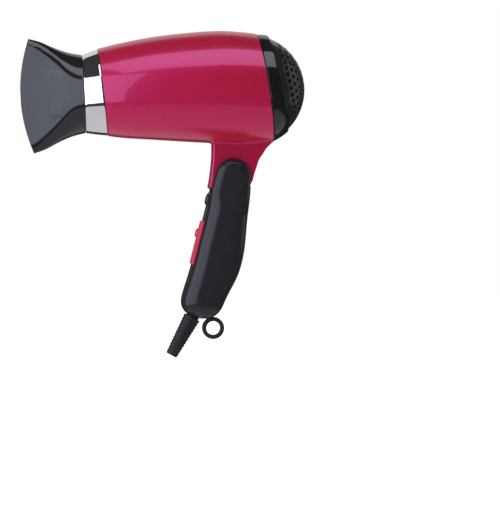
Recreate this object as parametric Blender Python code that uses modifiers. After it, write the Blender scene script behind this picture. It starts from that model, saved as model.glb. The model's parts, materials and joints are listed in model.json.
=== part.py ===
"""A folding travel hair dryer: egg-shaped barrel with a fishtail nozzle, on a handle that folds under it.

Lengths are written in millimetres and the meshes are made in metres. Shapes are drawn in the dryer's
own layout: x from the fold pivot towards the air intake, y from the left side to the right side,
z up from the fan's axis. ORIGIN then moves everything so that the row's origin is the box's middle.
"""

import math

import bmesh
import bpy
from mathutils import Matrix, Vector

MM = 0.001
ORIGIN = Vector((-48.35, 0.0, -73.87))

# Driving dimensions
WALL = 2.2
GAP = 0.3
SPLIT_GAP = 0.15
RING_SIDES = 32
HANDLE_SIDES = 28

# Barrel: station x, radius, height of the centre
BARREL_STATIONS = [
    (-95.0, 29.7, -1.7),
    (-77.0, 33.1, -0.7),
    (-55.0, 35.9, 0.7),
    (-32.0, 38.0, 1.4),
    (-10.0, 39.3, 1.6),
    (7.0, 39.0, 1.1),
    (18.0, 38.0, 0.7),
    (30.0, 36.3, 0.2),
]
BARREL_RINGS = 10
FRONT_SEAM = ((-94.4, 27.7), (-87.4, -32.2))
REAR_SEAM = ((17.2, 38.4), (28.9, -36.3))

# Bright ring in front of the barrel: its front edge and its fullest section
RING_EDGE = ((-104.7, 23.8), (-102.2, -30.5))
RING_EDGE_HALF = 27.2
RING_SWELL = ((-99.5, 25.9), (-94.8, -31.5))
RING_SWELL_HALF = 28.9
RING_REAR_HALF = 30.4

# Nozzle: distance along its axis, half height, half thickness, squareness, bow of the mouth
NOZZLE_ORIGIN = Vector((-103.5, 0.0, -3.3))
NOZZLE_AXIS = Vector((-0.99897, 0.0, -0.04536))
NOZZLE_STATIONS = [
    (0.3, 27.2, 27.2, 2.0, 0.0),
    (8.0, 28.8, 25.0, 2.0, 0.0),
    (14.0, 30.6, 21.8, 2.2, 0.4),
    (19.0, 32.3, 18.0, 2.5, 1.2),
    (25.0, 34.4, 13.8, 2.9, 2.6),
    (31.0, 36.6, 10.6, 3.2, 4.2),
    (37.0, 38.3, 8.0, 3.5, 5.8),
    (44.2, 39.9, 6.3, 3.8, 7.3),
]
NOZZLE_WALL = 1.8
SPIGOT_RADIUS = 22.8
SPIGOT_LENGTH = 7.0

# Intake dome and the band round it
DOME_CENTRE = Vector((12.45, 0.0, -0.3))
DOME_RADIUS = 38.45
DOME_WALL = 1.8
DOME_TILT = math.radians(12.2)
DOME_BASE = 18.4
BAND_EDGE = ((24.3, 38.0), (39.1, -29.7))
BAND_SWELL = ((20.9, 38.4), (34.3, -33.4))
BAND_SWELL_HALF = 36.4
BAND_SEAM_HALF = 37.4
DOME_SEAT = 19.5
HOLE_ROWS = 4
HOLE_RADIUS = 2.1
HOLE_ROW_STEP = math.radians(11.8)

# Neck and fold hinge
PIVOT = Vector((0.0, 0.0, -60.3))
NECK_HALF = 9.2
NECK_DISC = 13.9
NECK_FINGER = 19.6
HINGE_BORE = 6.2
HINGE_TUBE = 5.9
HINGE_TUBE_BORE = 4.3
HINGE_TUBE_HALF = 12.5
NECK_SCREW = (12.5, -44.5)
NECK_SCREW_SEAT = 5.5
NECK_SCREW_POCKET = 3.0
WASHER_RADIUS = 9.5

# Handle, in its own layout: a from the pivot down the handle, b towards the front, y to the right
HANDLE_LEAN = math.radians(14.3)
HANDLE_TOP = 13.1
HANDLE_END = 103.0
HANDLE_END_ROUND = 15.0
HANDLE_FRONT = [(0.0, 13.3), (12.0, 13.3), (24.0, 12.7), (30.0, 12.6), (48.0, 12.6), (66.0, 12.6),
                (76.0, 12.9), (86.0, 13.5), (103.0, 13.9)]
HANDLE_REAR = [(0.0, 13.6), (14.0, 16.0), (30.0, 18.4), (50.0, 21.4), (66.0, 21.3), (84.0, 17.4),
               (103.0, 14.6)]
HANDLE_HALF = [(0.0, 15.4), (30.0, 15.4), (60.0, 15.8), (84.0, 15.2), (103.0, 14.6)]
HANDLE_RINGS = [-12.9, -12.0, -9.8, -6.0, 0.0, 8.0, 15.0, 21.0, 27.0, 38.0, 50.0, 60.0, 70.0, 80.0,
                88.0, 94.0, 98.0, 100.8, 102.6]
HANDLE_WALL = 2.0
CHEEK_GAP = 10.3
SLOT_RADIUS = 19.9
SLOT_SHOULDER = 14.95
HANDLE_SCREWS = [(27.5, -12.0), (63.0, -15.5), (90.5, -8.2)]
HANDLE_SCREW_SEAT = 9.0
HANDLE_SCREW_POCKET = 3.1
PILOT_RADIUS = 1.3
CLEARANCE_RADIUS = 1.75

# Controls
SLIDER_TOP = 36.0
SLIDER_LENGTH = 31.0
SLIDER_SPREAD = math.radians(33.0)
SLIDER_SECTION = 50.0
SLIDER_TRAVEL = 8.0
STEM_START = 7.0
STEM_LENGTH = 10.0
STEM_HALF = 1.7
BUTTON_CENTRE = 20.1
BUTTON_LENGTH = 8.4
BUTTON_WIDTH = 7.0
BUTTON_PROUD = 1.5
PLUNGER_A = 22.9

# Cord outlet and hanging ring, in the handle's layout
RELIEF_START = (102.7, 2.6)
RELIEF_TILT = math.radians(14.5)
RELIEF_LENGTH = 31.0
RELIEF_RIBS = 12
RELIEF_ROOT = 5.9
RELIEF_TIP = 4.3
RELIEF_GROOVE = 0.5
CORD_BORE = 2.9
LOOP_CENTRE = (107.1, -13.5)
LOOP_OUTER = 7.7
LOOP_INNER = 4.95
LOOP_HALF = 2.0

# Fan and heater
FAN_Z = 1.2
FAN_RADIUS = 31.3
FAN_BLADES = 7
STATOR_VANES = 6
DUCT_INNER = 32.0
DUCT_OUTER = 33.2
MOTOR_RADIUS = 13.0
SHAFT_RADIUS = 1.15
BOARD_FRONT = -84.0
BOARD_REAR = -34.0
BOARD_HALF = 20.5
BOARD_THICK = 0.8
COIL_RADIUS = 21.8
COIL_WIRE = 0.7
COIL_TURNS = 3
COIL_LENGTH = 18.0
COIL_SIDES = 12

COLOURS = {
    "pink_plastic": ((0.62, 0.015, 0.12), 0.25, 0.25),
    "gloss_black": ((0.008, 0.008, 0.010), 0.12, 0.0),
    "matt_black": ((0.012, 0.012, 0.013), 0.45, 0.0),
    "satin_black": ((0.012, 0.012, 0.014), 0.32, 0.0),
    "chrome": ((0.85, 0.85, 0.86), 0.06, 1.0),
    "switch_pink": ((0.55, 0.02, 0.08), 0.38, 0.0),
    "black_rubber": ((0.015, 0.015, 0.015), 0.7, 0.0),
    "mica": ((0.52, 0.46, 0.34), 0.6, 0.0),
    "heating_wire": ((0.45, 0.43, 0.40), 0.35, 1.0),
    "zinc_steel": ((0.62, 0.62, 0.63), 0.3, 1.0),
    "steel_shaft": ((0.70, 0.70, 0.72), 0.2, 1.0),
    "white_nylon": ((0.80, 0.79, 0.75), 0.45, 0.0),
    "circuit_board": ((0.04, 0.20, 0.07), 0.5, 0.0),
    "wire_sleeve": ((0.75, 0.72, 0.68), 0.6, 0.0),
}


# ---------------------------------------------------------------- scene, bodies and materials

def clear_scene():
    for obj in list(bpy.data.objects):
        bpy.data.objects.remove(obj, do_unlink=True)


def new_collection(name):
    found = bpy.data.collections.new(name)
    bpy.context.scene.collection.children.link(found)
    return found


def material(name):
    colour, roughness, metallic = COLOURS[name]
    mat = bpy.data.materials.get(name)
    if mat is None:
        mat = bpy.data.materials.new(name)
        mat.use_nodes = True
        shader = mat.node_tree.nodes["Principled BSDF"]
        shader.inputs["Base Color"].default_value = (*colour, 1.0)
        shader.inputs["Roughness"].default_value = roughness
        shader.inputs["Metallic"].default_value = metallic
    return mat


def placed(frame):
    """A rigid frame in the dryer's layout, as a matrix in the row's frame, in metres."""
    matrix = frame.copy()
    matrix.translation = (frame.translation - ORIGIN) * MM
    return matrix


def axis_frame(origin, direction):
    """A frame whose own Z runs along direction."""
    matrix = Vector(direction).normalized().to_track_quat("Z", "Y").to_matrix().to_4x4()
    matrix.translation = Vector(origin)
    return matrix


def handle_frame():
    """Columns a, b, y of the handle's layout, at the pivot."""
    down = Vector((-math.sin(HANDLE_LEAN), 0.0, -math.cos(HANDLE_LEAN)))
    front = Vector((-math.cos(HANDLE_LEAN), 0.0, math.sin(HANDLE_LEAN)))
    matrix = Matrix((down, front, Vector((0.0, 1.0, 0.0)))).transposed().to_4x4()
    matrix.translation = PIVOT
    return matrix


def fan_frame():
    return axis_frame((0.0, 0.0, FAN_Z), (1.0, 0.0, 0.0))


def nozzle_frame():
    return axis_frame(NOZZLE_ORIGIN, NOZZLE_AXIS)


def add_body(name, frame):
    empty = bpy.data.objects.new(name + "_axis", None)
    PARTS.objects.link(empty)
    empty.matrix_world = placed(frame)
    BODIES[name] = empty
    return empty


def attach(obj, body, frame):
    """Puts obj at frame, as a child of the body's empty."""
    obj.parent = BODIES[body]
    obj.matrix_parent_inverse = BODIES[body].matrix_basis.inverted()
    obj.matrix_basis = placed(frame)


# ---------------------------------------------------------------- mesh helpers

def add_object(name, bm, slot, body, frame=None, sharp=38.0):
    """A sub-part from a bmesh drawn in millimetres in the given frame."""
    bmesh.ops.scale(bm, vec=(MM, MM, MM), verts=bm.verts)
    bmesh.ops.recalc_face_normals(bm, faces=bm.faces)
    mesh = bpy.data.meshes.new(name)
    bm.to_mesh(mesh)
    bm.free()
    mesh.shade_smooth()
    mesh.set_sharp_from_angle(angle=math.radians(sharp))
    obj = bpy.data.objects.new(name, mesh)
    mesh.materials.append(material(slot))
    PARTS.objects.link(obj)
    attach(obj, body, frame or Matrix())
    return obj


def add_tool(name, bm, body, frame=None):
    """A cutter, or a shape that a union adds: never a part of its own."""
    obj = add_object(name, bm, "matt_black", body, frame)
    return as_tool(obj)


def as_tool(obj):
    PARTS.objects.unlink(obj)
    CUTTERS.objects.link(obj)
    obj.hide_render = True
    obj.display_type = "WIRE"
    return obj


def boolean(obj, tool, operation):
    step = obj.modifiers.new(operation.lower() + "_" + tool.name, "BOOLEAN")
    step.operation = operation
    step.solver = "EXACT"
    step.object = tool


def cut(obj, *tools):
    for tool in tools:
        boolean(obj, tool, "DIFFERENCE")


def weld(obj, *tools):
    for tool in tools:
        boolean(obj, tool, "UNION")


def loft(rings, closed=False):
    """Skins a run of rings; closed joins the last ring to the first, otherwise both ends are capped."""
    bm = bmesh.new()
    loops = [[bm.verts.new(point) for point in ring] for ring in rings]
    pairs = list(zip(loops, loops[1:]))
    if closed:
        pairs.append((loops[-1], loops[0]))
    for first, second in pairs:
        for k in range(len(first)):
            n = (k + 1) % len(first)
            bm.faces.new((first[k], first[n], second[n], second[k]))
    if not closed:
        bm.faces.new(loops[0])
        bm.faces.new(loops[-1])
    return bm


def box(low, high):
    bm = bmesh.new()
    size = [top - bottom for bottom, top in zip(low, high)]
    centre = [(top + bottom) / 2 for bottom, top in zip(low, high)]
    bmesh.ops.create_cube(bm, size=1.0, matrix=Matrix.Translation(centre) @ Matrix.Diagonal((*size, 1.0)))
    return bm


def rod(start, end, radius, sides=20):
    """A round bar between two points."""
    start, end = Vector(start), Vector(end)
    bm = bmesh.new()
    bmesh.ops.create_cone(
        bm, cap_ends=True, segments=sides, radius1=radius, radius2=radius, depth=(end - start).length,
        matrix=axis_frame((start + end) / 2, end - start))
    return bm


def merged(*meshes):
    """Several bmeshes as one, for a tool made of separate solids."""
    whole = bmesh.new()
    for bm in meshes:
        mesh = bpy.data.meshes.new("piece")
        bm.to_mesh(mesh)
        bm.free()
        whole.from_mesh(mesh)
        bpy.data.meshes.remove(mesh)
    return whole


def side_plate(outline, low, high):
    """An outline of (x, z) points given thickness along Y."""
    return loft([[Vector((x, level, z)) for x, z in outline] for level in (low, high)])


def handle_plate(outline, low, high):
    """An outline of (a, b) points of the handle's layout given thickness along y."""
    return loft([[Vector((a, b, level)) for a, b in outline] for level in (low, high)])


def arc(centre, radius, start, end, steps):
    """Points of an arc from start to end, in degrees, as (u, v)."""
    points = []
    for k in range(steps + 1):
        angle = math.radians(start + (end - start) * k / steps)
        points.append((centre[0] + radius * math.cos(angle), centre[1] + radius * math.sin(angle)))
    return points


def turned(name, profile, slot, body, frame, steps=24):
    """A turned solid: its (radius, height) profile runs down the outer side, and closes on the axis
    or on itself."""
    mesh = bpy.data.meshes.new(name)
    points = [(radius * MM, 0.0, height * MM) for radius, height in profile]
    edges = [(k, k + 1) for k in range(len(points) - 1)]
    on_axis = profile[0][0] == 0.0
    if not on_axis:
        edges.append((len(points) - 1, 0))
    mesh.from_pydata(points, edges, [])
    mesh.materials.append(material(slot))
    obj = bpy.data.objects.new(name, mesh)
    PARTS.objects.link(obj)
    screw = obj.modifiers.new("turn", "SCREW")
    screw.axis = "Z"
    screw.steps = steps
    screw.render_steps = steps
    screw.use_merge_vertices = True
    screw.merge_threshold = 0.00001
    screw.use_smooth_shade = True
    attach(obj, body, frame)
    return obj


def wire(name, points, radius, slot, body, frame=None, bevel_resolution=2):
    """A round wire along straight-segment points, with filled ends."""
    curve = bpy.data.curves.new(name, "CURVE")
    curve.dimensions = "3D"
    curve.bevel_depth = radius * MM
    curve.bevel_resolution = bevel_resolution
    curve.use_fill_caps = True
    spline = curve.splines.new("POLY")
    spline.points.add(len(points) - 1)
    for spot, point in zip(spline.points, points):
        spot.co = (*(Vector(point) * MM), 1.0)
    curve.materials.append(material(slot))
    obj = bpy.data.objects.new(name, curve)
    PARTS.objects.link(obj)
    attach(obj, body, frame or Matrix())
    return obj


def smooth_path(points, per_span=5):
    """Points of a Catmull-Rom curve through the route's own points."""
    ends = [points[0]] + list(points) + [points[-1]]
    knots = [Vector(p) for p in ends]
    path = []
    for k in range(1, len(knots) - 2):
        for step in range(per_span):
            path.append(catmull(knots[k - 1:k + 3], step / per_span))
    path.append(knots[-2])
    return path


def catmull(four, t):
    p0, p1, p2, p3 = four
    return 0.5 * (2 * p1 + (p2 - p0) * t + (2 * p0 - 5 * p1 + 4 * p2 - p3) * t ** 2
                  + (3 * p1 - p0 - 3 * p2 + p3) * t ** 3)


def value_at(stations, t, column=1):
    """Smooth value at t of a curve through the stations (t, value, ...)."""
    last = len(stations) - 2
    t = min(max(t, stations[0][0]), stations[-1][0])
    i = max(k for k in range(last + 1) if stations[k][0] <= t)
    span = stations[i + 1][0] - stations[i][0]
    u = (t - stations[i][0]) / span
    v0, v1 = stations[i][column], stations[i + 1][column]
    m0, m1 = slope(stations, i, column) * span, slope(stations, i + 1, column) * span
    return ((2 * u ** 3 - 3 * u ** 2 + 1) * v0 + (u ** 3 - 2 * u ** 2 + u) * m0
            + (3 * u ** 2 - 2 * u ** 3) * v1 + (u ** 3 - u ** 2) * m1)


def slope(stations, i, column):
    before, after = max(i - 1, 0), min(i + 1, len(stations) - 1)
    return (stations[after][column] - stations[before][column]) / (stations[after][0] - stations[before][0])


# ---------------------------------------------------------------- rings in slanted planes

def ring_spec(top, bottom, half_width=None):
    """A slanted ring: its top and bottom points in the plane y = 0, and its half width along Y."""
    top, bottom = Vector((top[0], 0.0, top[1])), Vector((bottom[0], 0.0, bottom[1]))
    return [top, bottom, (top - bottom).length / 2 if half_width is None else half_width]


def inset(spec, depth):
    top, bottom, half_width = spec
    inward = (bottom - top).normalized() * depth
    return [top + inward, bottom - inward, half_width - depth]


def shifted(spec, distance):
    """The ring moved along its own normal, towards the intake when distance is positive."""
    top, bottom, half_width = spec
    up = (top - bottom).normalized()
    normal = Vector((up.z, 0.0, -up.x)) * distance
    return [top + normal, bottom + normal, half_width]


def power(value, exponent):
    return math.copysign(abs(value) ** exponent, value)


def ring_points(spec, squareness=2.0, sides=RING_SIDES):
    top, bottom, half_width = spec
    centre, up = (top + bottom) / 2, (top - bottom) / 2
    points = []
    for k in range(sides):
        angle = 2 * math.pi * (k + 0.5) / sides
        along = power(math.cos(angle), 2 / squareness)
        across = power(math.sin(angle), 2 / squareness)
        points.append(centre + up * along + Vector((0.0, half_width * across, 0.0)))
    return points


def barrel_ring(x_top, x_bottom):
    """The barrel's ring through the outline's top at x_top and bottom at x_bottom."""
    top = value_at(BARREL_STATIONS, x_top, 2) + value_at(BARREL_STATIONS, x_top, 1)
    bottom = value_at(BARREL_STATIONS, x_bottom, 2) - value_at(BARREL_STATIONS, x_bottom, 1)
    width = value_at(BARREL_STATIONS, (x_top + x_bottom) / 2, 1)
    return ring_spec((x_top, top), (x_bottom, bottom), width)


def barrel_rings():
    """Rings from the front seam to the rear seam, leaning more towards the rear."""
    rings = []
    for k in range(BARREL_RINGS + 1):
        t = k / BARREL_RINGS
        x_top = FRONT_SEAM[0][0] * (1 - t) + REAR_SEAM[0][0] * t
        x_bottom = FRONT_SEAM[1][0] * (1 - t) + REAR_SEAM[1][0] * t
        rings.append(barrel_ring(x_top, x_bottom))
    rings[0] = shifted(rings[0], GAP)
    rings[-1] = shifted(rings[-1], -GAP)
    return rings


# ---------------------------------------------------------------- barrel

def neck_outline():
    """The neck tab in the plane y = 0, down from inside the barrel and round the hinge disc."""
    corner = math.degrees(math.atan2(-9.6, -17.1))
    front = [(-13.0, 32.0), (-13.2, 26.0), (-14.0, 22.0), (-14.3, 11.0), (-15.7, -1.7)]
    finger = [polar(NECK_FINGER, corner - 8), polar(NECK_FINGER, corner), polar(NECK_DISC, corner + 1)]
    disc = arc((0.0, 0.0), NECK_DISC, corner + 12, -12.0, 10)
    rear = [(14.3, -1.2), (15.5, 2.6), (16.9, 6.8), (18.3, 11.0), (21.1, 15.3), (23.9, 19.5), (28.2, 23.7),
            (26.0, 32.0)]
    return [(u + PIVOT.x, v + PIVOT.z) for u, v in front + finger + disc + rear]


def polar(radius, degrees):
    return radius * math.cos(math.radians(degrees)), radius * math.sin(math.radians(degrees))


def neck_solid():
    return side_plate(neck_outline(), -NECK_HALF, NECK_HALF)


def neck_passage():
    """The hollow that takes the leads from the hinge up into the barrel."""
    outline = [(-11.5, 34.0), (-11.8, 10.0), (-12.8, -1.0), (-10.6, -5.0)]
    outline += arc((0.0, 0.0), NECK_DISC - WALL, 205.0, 345.0, 8)
    outline += [(12.6, 3.0), (15.0, 11.0), (20.5, 19.0), (24.0, 24.0), (24.0, 34.0)]
    outline = [(u + PIVOT.x, v + PIVOT.z) for u, v in outline]
    return side_plate(outline, -NECK_HALF + WALL, NECK_HALF - WALL)


def across(x, z, low, high, radius, sides=24):
    """A bar along Y at (x, z)."""
    return rod((x, low, z), (x, high, z), radius, sides)


def make_barrel_shells():
    rings = barrel_rings()
    inner = [inset(ring, WALL) for ring in rings]
    inner = [shifted(inner[0], -2.0)] + inner + [shifted(inner[-1], 2.0)]
    solid_rings = [ring_points(ring) for ring in rings]
    neck = add_tool("neck_solid", neck_solid(), "barrel")
    cavity = add_tool("barrel_cavity", loft([ring_points(ring) for ring in inner]), "barrel")
    passage = add_tool("neck_passage", neck_passage(), "barrel")
    boss = merged(
        across(PIVOT.x, PIVOT.z, -NECK_HALF + 0.5, NECK_HALF - 0.5, HINGE_BORE + 1.8, 32),
        across(*NECK_SCREW, -NECK_HALF + 0.5, NECK_HALF - 0.5, 3.6, 20))
    bosses = add_tool("neck_bosses", boss, "barrel")
    bore = add_tool("hinge_bore", across(PIVOT.x, PIVOT.z, -12.0, 12.0, HINGE_BORE, 32), "barrel")
    lead_hole = add_tool(
        "hinge_lead_hole", box((-3.5, -4.0, PIVOT.z + 3.0), (3.5, 4.0, PIVOT.z + 10.0)), "barrel")
    for side, name in ((-1, "left"), (1, "right")):
        shell = add_object("barrel_shell_" + name, loft(solid_rings), "pink_plastic", "barrel")
        low, high = sorted((side * SPLIT_GAP, side * 60.0))
        half = add_tool("barrel_half_" + name, box((-130.0, low, -90.0), (60.0, high, 60.0)), "barrel")
        weld(shell, neck)
        cut(shell, cavity, passage)
        weld(shell, bosses)
        cut(shell, bore, lead_hole, neck_screw_hole(side))
        boolean(shell, half, "INTERSECT")


def neck_screw_hole(side):
    """A pilot hole on the left; a clearance hole with a head pocket on the right."""
    if side < 0:
        return add_tool("neck_screw_pilot", across(*NECK_SCREW, -7.0, 1.0, 1.45, 12), "barrel")
    hole = across(*NECK_SCREW, -1.0, 12.0, CLEARANCE_RADIUS, 12)
    pocket = across(*NECK_SCREW, NECK_SCREW_SEAT, 12.0, NECK_SCREW_POCKET, 16)
    clearance = add_tool("neck_screw_clearance", hole, "barrel")
    weld(clearance, add_tool("neck_screw_pocket", pocket, "barrel"))
    return clearance


def make_front_ring():
    """The bright ring between barrel and nozzle, with a spigot for the nozzle and a lip in the barrel."""
    rear = ring_spec(*FRONT_SEAM, RING_REAR_HALF)
    front = ring_spec(*RING_EDGE, RING_EDGE_HALF)
    middle = ring_spec(*RING_SWELL, RING_SWELL_HALF)
    spigot = inset(front, RING_EDGE_HALF - SPIGOT_RADIUS)
    end = shifted(spigot, -SPIGOT_LENGTH)
    lip = inset(rear, WALL + GAP)
    lip_inside = inset(rear, 4.0)
    rings = [rear, middle, front, spigot, end, inset(end, 1.7), inset(shifted(front, 2.2), 3.9),
             inset(shifted(front, 2.6), 2.2), lip_inside, shifted(lip_inside, 5.0), shifted(lip, 5.0), lip]
    bm = loft([ring_points(ring) for ring in rings], closed=True)
    add_object("front_ring", bm, "chrome", "barrel")


def make_outlet_grille():
    """Protective grille behind the spigot: a rim, two rings and four bars."""
    frame = nozzle_frame()
    low, high = -5.2, -3.2
    rim = turned("outlet_grille", ring_profile(24.4, 22.6, low, high), "matt_black", "barrel", frame, 24)
    for radius in (15.0, 7.5):
        profile = ring_profile(radius + 0.6, radius - 0.6, low, high)
        weld(rim, as_tool(turned("outlet_ring", profile, "matt_black", "barrel", frame, 16)))
    for turn in (45.0, 135.0):
        bar = box((-23.2, -0.6, low + 0.2), (23.2, 0.6, high - 0.2))
        weld(rim, add_tool("outlet_bar", bar, "barrel", frame @ Matrix.Rotation(math.radians(turn), 4, "Z")))


def ring_profile(outer, inner, low, high):
    return [(outer, high), (outer, low), (inner, low), (inner, high)]


def dome_ring(distance, radius):
    """A ring round the dome's tilted axis, as far from the dome's centre as distance."""
    normal = Vector((math.cos(DOME_TILT), 0.0, math.sin(DOME_TILT)))
    up = Vector((-math.sin(DOME_TILT), 0.0, math.cos(DOME_TILT)))
    centre = DOME_CENTRE + normal * distance
    return [centre + up * radius, centre - up * radius, radius]


def make_rear_ring():
    """The gloss band between the barrel and the intake dome, with a ledge that the dome sits on."""
    seam = ring_spec(*REAR_SEAM, BAND_SEAM_HALF)
    edge = ring_spec(*BAND_EDGE)
    middle = ring_spec(*BAND_SWELL, BAND_SWELL_HALF)
    clear = DOME_RADIUS + GAP
    ledge, opening = DOME_BASE - GAP, 32.6
    rings = [seam, middle, edge, dome_ring(DOME_SEAT, math.sqrt(clear ** 2 - DOME_SEAT ** 2)),
             dome_ring(ledge, math.sqrt(clear ** 2 - DOME_BASE ** 2)), dome_ring(ledge, opening),
             dome_ring(DOME_BASE - WALL, opening), inset(seam, 4.4), shifted(inset(seam, 4.6), -5.0),
             shifted(inset(seam, 3.4), -5.0), inset(seam, 3.0)]
    bm = loft([ring_points(ring) for ring in rings], closed=True)
    add_object("rear_ring", bm, "gloss_black", "barrel")


def make_intake_grille():
    """The domed intake grille, pierced by rings of round holes."""
    frame = axis_frame(DOME_CENTRE, (math.cos(DOME_TILT), 0.0, math.sin(DOME_TILT)))
    profile = dome_arc(DOME_RADIUS) + list(reversed(dome_arc(DOME_RADIUS - DOME_WALL)))
    grille = turned("intake_grille", profile, "matt_black", "barrel", frame, 24)
    cut(grille, add_tool("intake_holes", intake_holes(), "barrel", frame))


def dome_arc(radius, steps=5):
    """The dome's (radius, height) profile from its crown down to its base."""
    edge = math.acos(DOME_BASE / radius)
    angles = [edge * k / steps for k in range(steps + 1)]
    return [(radius * math.sin(angle), radius * math.cos(angle)) for angle in angles]


def intake_holes():
    holes = [rod((0.0, 0.0, DOME_RADIUS - 5.0), (0.0, 0.0, DOME_RADIUS + 3.0), HOLE_RADIUS, 6)]
    for row in range(1, HOLE_ROWS + 1):
        for k in range(6 * row):
            turn, lean = 2 * math.pi * k / (6 * row), row * HOLE_ROW_STEP
            way = Vector((math.sin(lean) * math.cos(turn), math.sin(lean) * math.sin(turn), math.cos(lean)))
            holes.append(rod(way * (DOME_RADIUS - 5.0), way * (DOME_RADIUS + 3.0), HOLE_RADIUS, 6))
    return merged(*holes)


# ---------------------------------------------------------------- nozzle

def nozzle_ring(station, depth=0.0):
    """One ring of the nozzle; the mouth's rings bow forward in the middle."""
    distance, height, thickness, squareness, bow = station
    height, thickness = height - depth, thickness - depth
    up = Vector((NOZZLE_AXIS.z, 0.0, -NOZZLE_AXIS.x))
    centre = NOZZLE_ORIGIN + NOZZLE_AXIS * distance
    spec = [centre + up * height, centre - up * height, thickness]
    points = ring_points(spec, squareness)
    return [p - NOZZLE_AXIS * (bow * ((p - centre).dot(up) / height) ** 2) for p in points]


def make_nozzle():
    outer = [nozzle_ring(station) for station in NOZZLE_STATIONS]
    inner = [nozzle_ring(station, NOZZLE_WALL) for station in reversed(NOZZLE_STATIONS)]
    inner[-1] = collar_ring(GAP, SPIGOT_RADIUS + GAP)
    add_object("nozzle", loft(outer + inner, closed=True), "gloss_black", "nozzle")


def collar_ring(distance, radius):
    up = Vector((NOZZLE_AXIS.z, 0.0, -NOZZLE_AXIS.x))
    centre = NOZZLE_ORIGIN + NOZZLE_AXIS * distance
    return ring_points([centre + up * radius, centre - up * radius, radius])


# ---------------------------------------------------------------- heater and fan

def make_heater_boards():
    """Two mica boards crossed along the barrel's axis, each slotted for half of the other."""
    front, rear, half = BOARD_FRONT, BOARD_REAR, BOARD_THICK / 2
    middle = (front + rear) / 2
    slot = half + GAP
    board = box((front, -half, -BOARD_HALF), (rear, half, BOARD_HALF))
    upright = add_object("mica_board_upright", board, "mica", "barrel")
    board = box((front, -BOARD_HALF, -half), (rear, BOARD_HALF, half))
    flat = add_object("mica_board_flat", board, "mica", "barrel")
    cut(upright, add_tool("upright_slot", box((middle - GAP, -2.0, -slot), (rear + 1, 2.0, slot)), "barrel"))
    cut(flat, add_tool("flat_slot", box((front - 1, -slot, -2.0), (middle + GAP, slot, 2.0)), "barrel"))


def make_heating_coils():
    """Two resistance windings round the crossed boards."""
    for name, start in (("front", -81.0), ("rear", -57.0)):
        steps = COIL_SIDES * COIL_TURNS
        points = []
        for k in range(steps + 1):
            across_y, up = polar(COIL_RADIUS, 360.0 * k / COIL_SIDES)
            points.append((start + COIL_LENGTH * k / steps, across_y, up))
        wire("heating_coil_" + name, points, COIL_WIRE, "heating_wire", "barrel", bevel_resolution=1)


def make_heat_shield():
    frame = axis_frame((-86.0, 0.0, 0.0), (1.0, 0.0, 0.0))
    profile = [(28.0, 54.0), (26.2, 0.0), (25.6, 0.0), (27.4, 54.0)]
    turned("heat_shield_tube", profile, "mica", "barrel", frame, 32)


def make_thermal_cutouts():
    """A bimetal thermostat and a one-shot fuse, either side of the upright board."""
    base = box((-46.0, 0.8, 4.0), (-38.0, 3.4, 14.0))
    thermostat = add_object("thermostat", base, "white_nylon", "barrel")
    blade = add_tool("thermostat_blade", box((-52.0, 2.0, 6.5), (-44.0, 2.6, 11.5)), "barrel")
    weld(thermostat, blade)
    fuse = rod((-50.0, -2.6, -9.0), (-39.0, -2.6, -9.0), 1.7, 14)
    add_object("thermal_fuse", fuse, "zinc_steel", "barrel")


def make_fan_duct():
    """The duct round the fan: outer wall, flange, stator vanes and the cup that holds the motor."""
    frame = fan_frame()
    wall = [(DUCT_OUTER, 11.0), (DUCT_OUTER, -8.0), (36.2, -8.0), (36.2, -10.0), (DUCT_INNER, -10.0),
            (DUCT_INNER, 11.0)]
    duct = turned("fan_duct", wall, "matt_black", "barrel", frame, RING_SIDES)
    cup = ring_profile(MOTOR_RADIUS + 1.6, MOTOR_RADIUS + GAP, -20.0, -1.0)
    weld(duct, as_tool(turned("motor_cup", cup, "matt_black", "barrel", frame, 24)))
    for k in range(STATOR_VANES):
        vane = box((MOTOR_RADIUS + 1.0, -0.7, -9.0), (DUCT_INNER + 0.6, 0.7, -1.5))
        turn = Matrix.Rotation(2 * math.pi * k / STATOR_VANES, 4, "Z")
        weld(duct, add_tool("stator_vane", vane, "barrel", frame @ turn))
    cut(duct, add_tool("lead_notch", box((-12.0, -2.2, -38.0), (-6.0, 2.2, -32.6)), "barrel"))


def make_motor():
    frame = fan_frame()
    profile = [(1.5, 0.0), (9.0, 0.0), (MOTOR_RADIUS, -1.5), (MOTOR_RADIUS, -23.0), (9.0, -25.0),
               (1.5, -25.0)]
    turned("motor_can", profile, "zinc_steel", "barrel", frame, 24)
    shaft = rod((0.0, 0.0, -27.0), (0.0, 0.0, 15.0), SHAFT_RADIUS, 16)
    add_object("motor_shaft", shaft, "steel_shaft", "fan", frame)


def make_fan():
    """Axial fan: a domed hub with twisted blades."""
    frame = fan_frame()
    hub = turned(
        "fan_impeller",
        [(1.3, 14.5), (5.0, 14.2), (9.0, 12.4), (11.0, 9.0), (11.0, 2.0), (1.3, 2.0)],
        "matt_black", "fan", frame, 24)
    for k in range(FAN_BLADES):
        turn = Matrix.Rotation(2 * math.pi * k / FAN_BLADES, 4, "Z")
        weld(hub, add_tool("fan_blade", fan_blade(), "fan", frame @ turn))


def fan_blade():
    """A blade lofted outwards from the hub, flatter towards its tip."""
    rings = []
    for radius, chord, pitch in ((10.0, 9.0, 52.0), (20.0, 11.5, 38.0), (FAN_RADIUS, 13.0, 28.0)):
        angle = math.radians(pitch)
        along = Vector((0.0, math.cos(angle), math.sin(angle))) * chord / 2
        thick = Vector((0.0, -math.sin(angle), math.cos(angle))) * 0.5
        middle = Vector((radius, 0.0, 7.6))
        rings.append([middle - along - thick, middle + along - thick,
                      middle + along + thick, middle - along + thick])
    return loft(rings)


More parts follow.
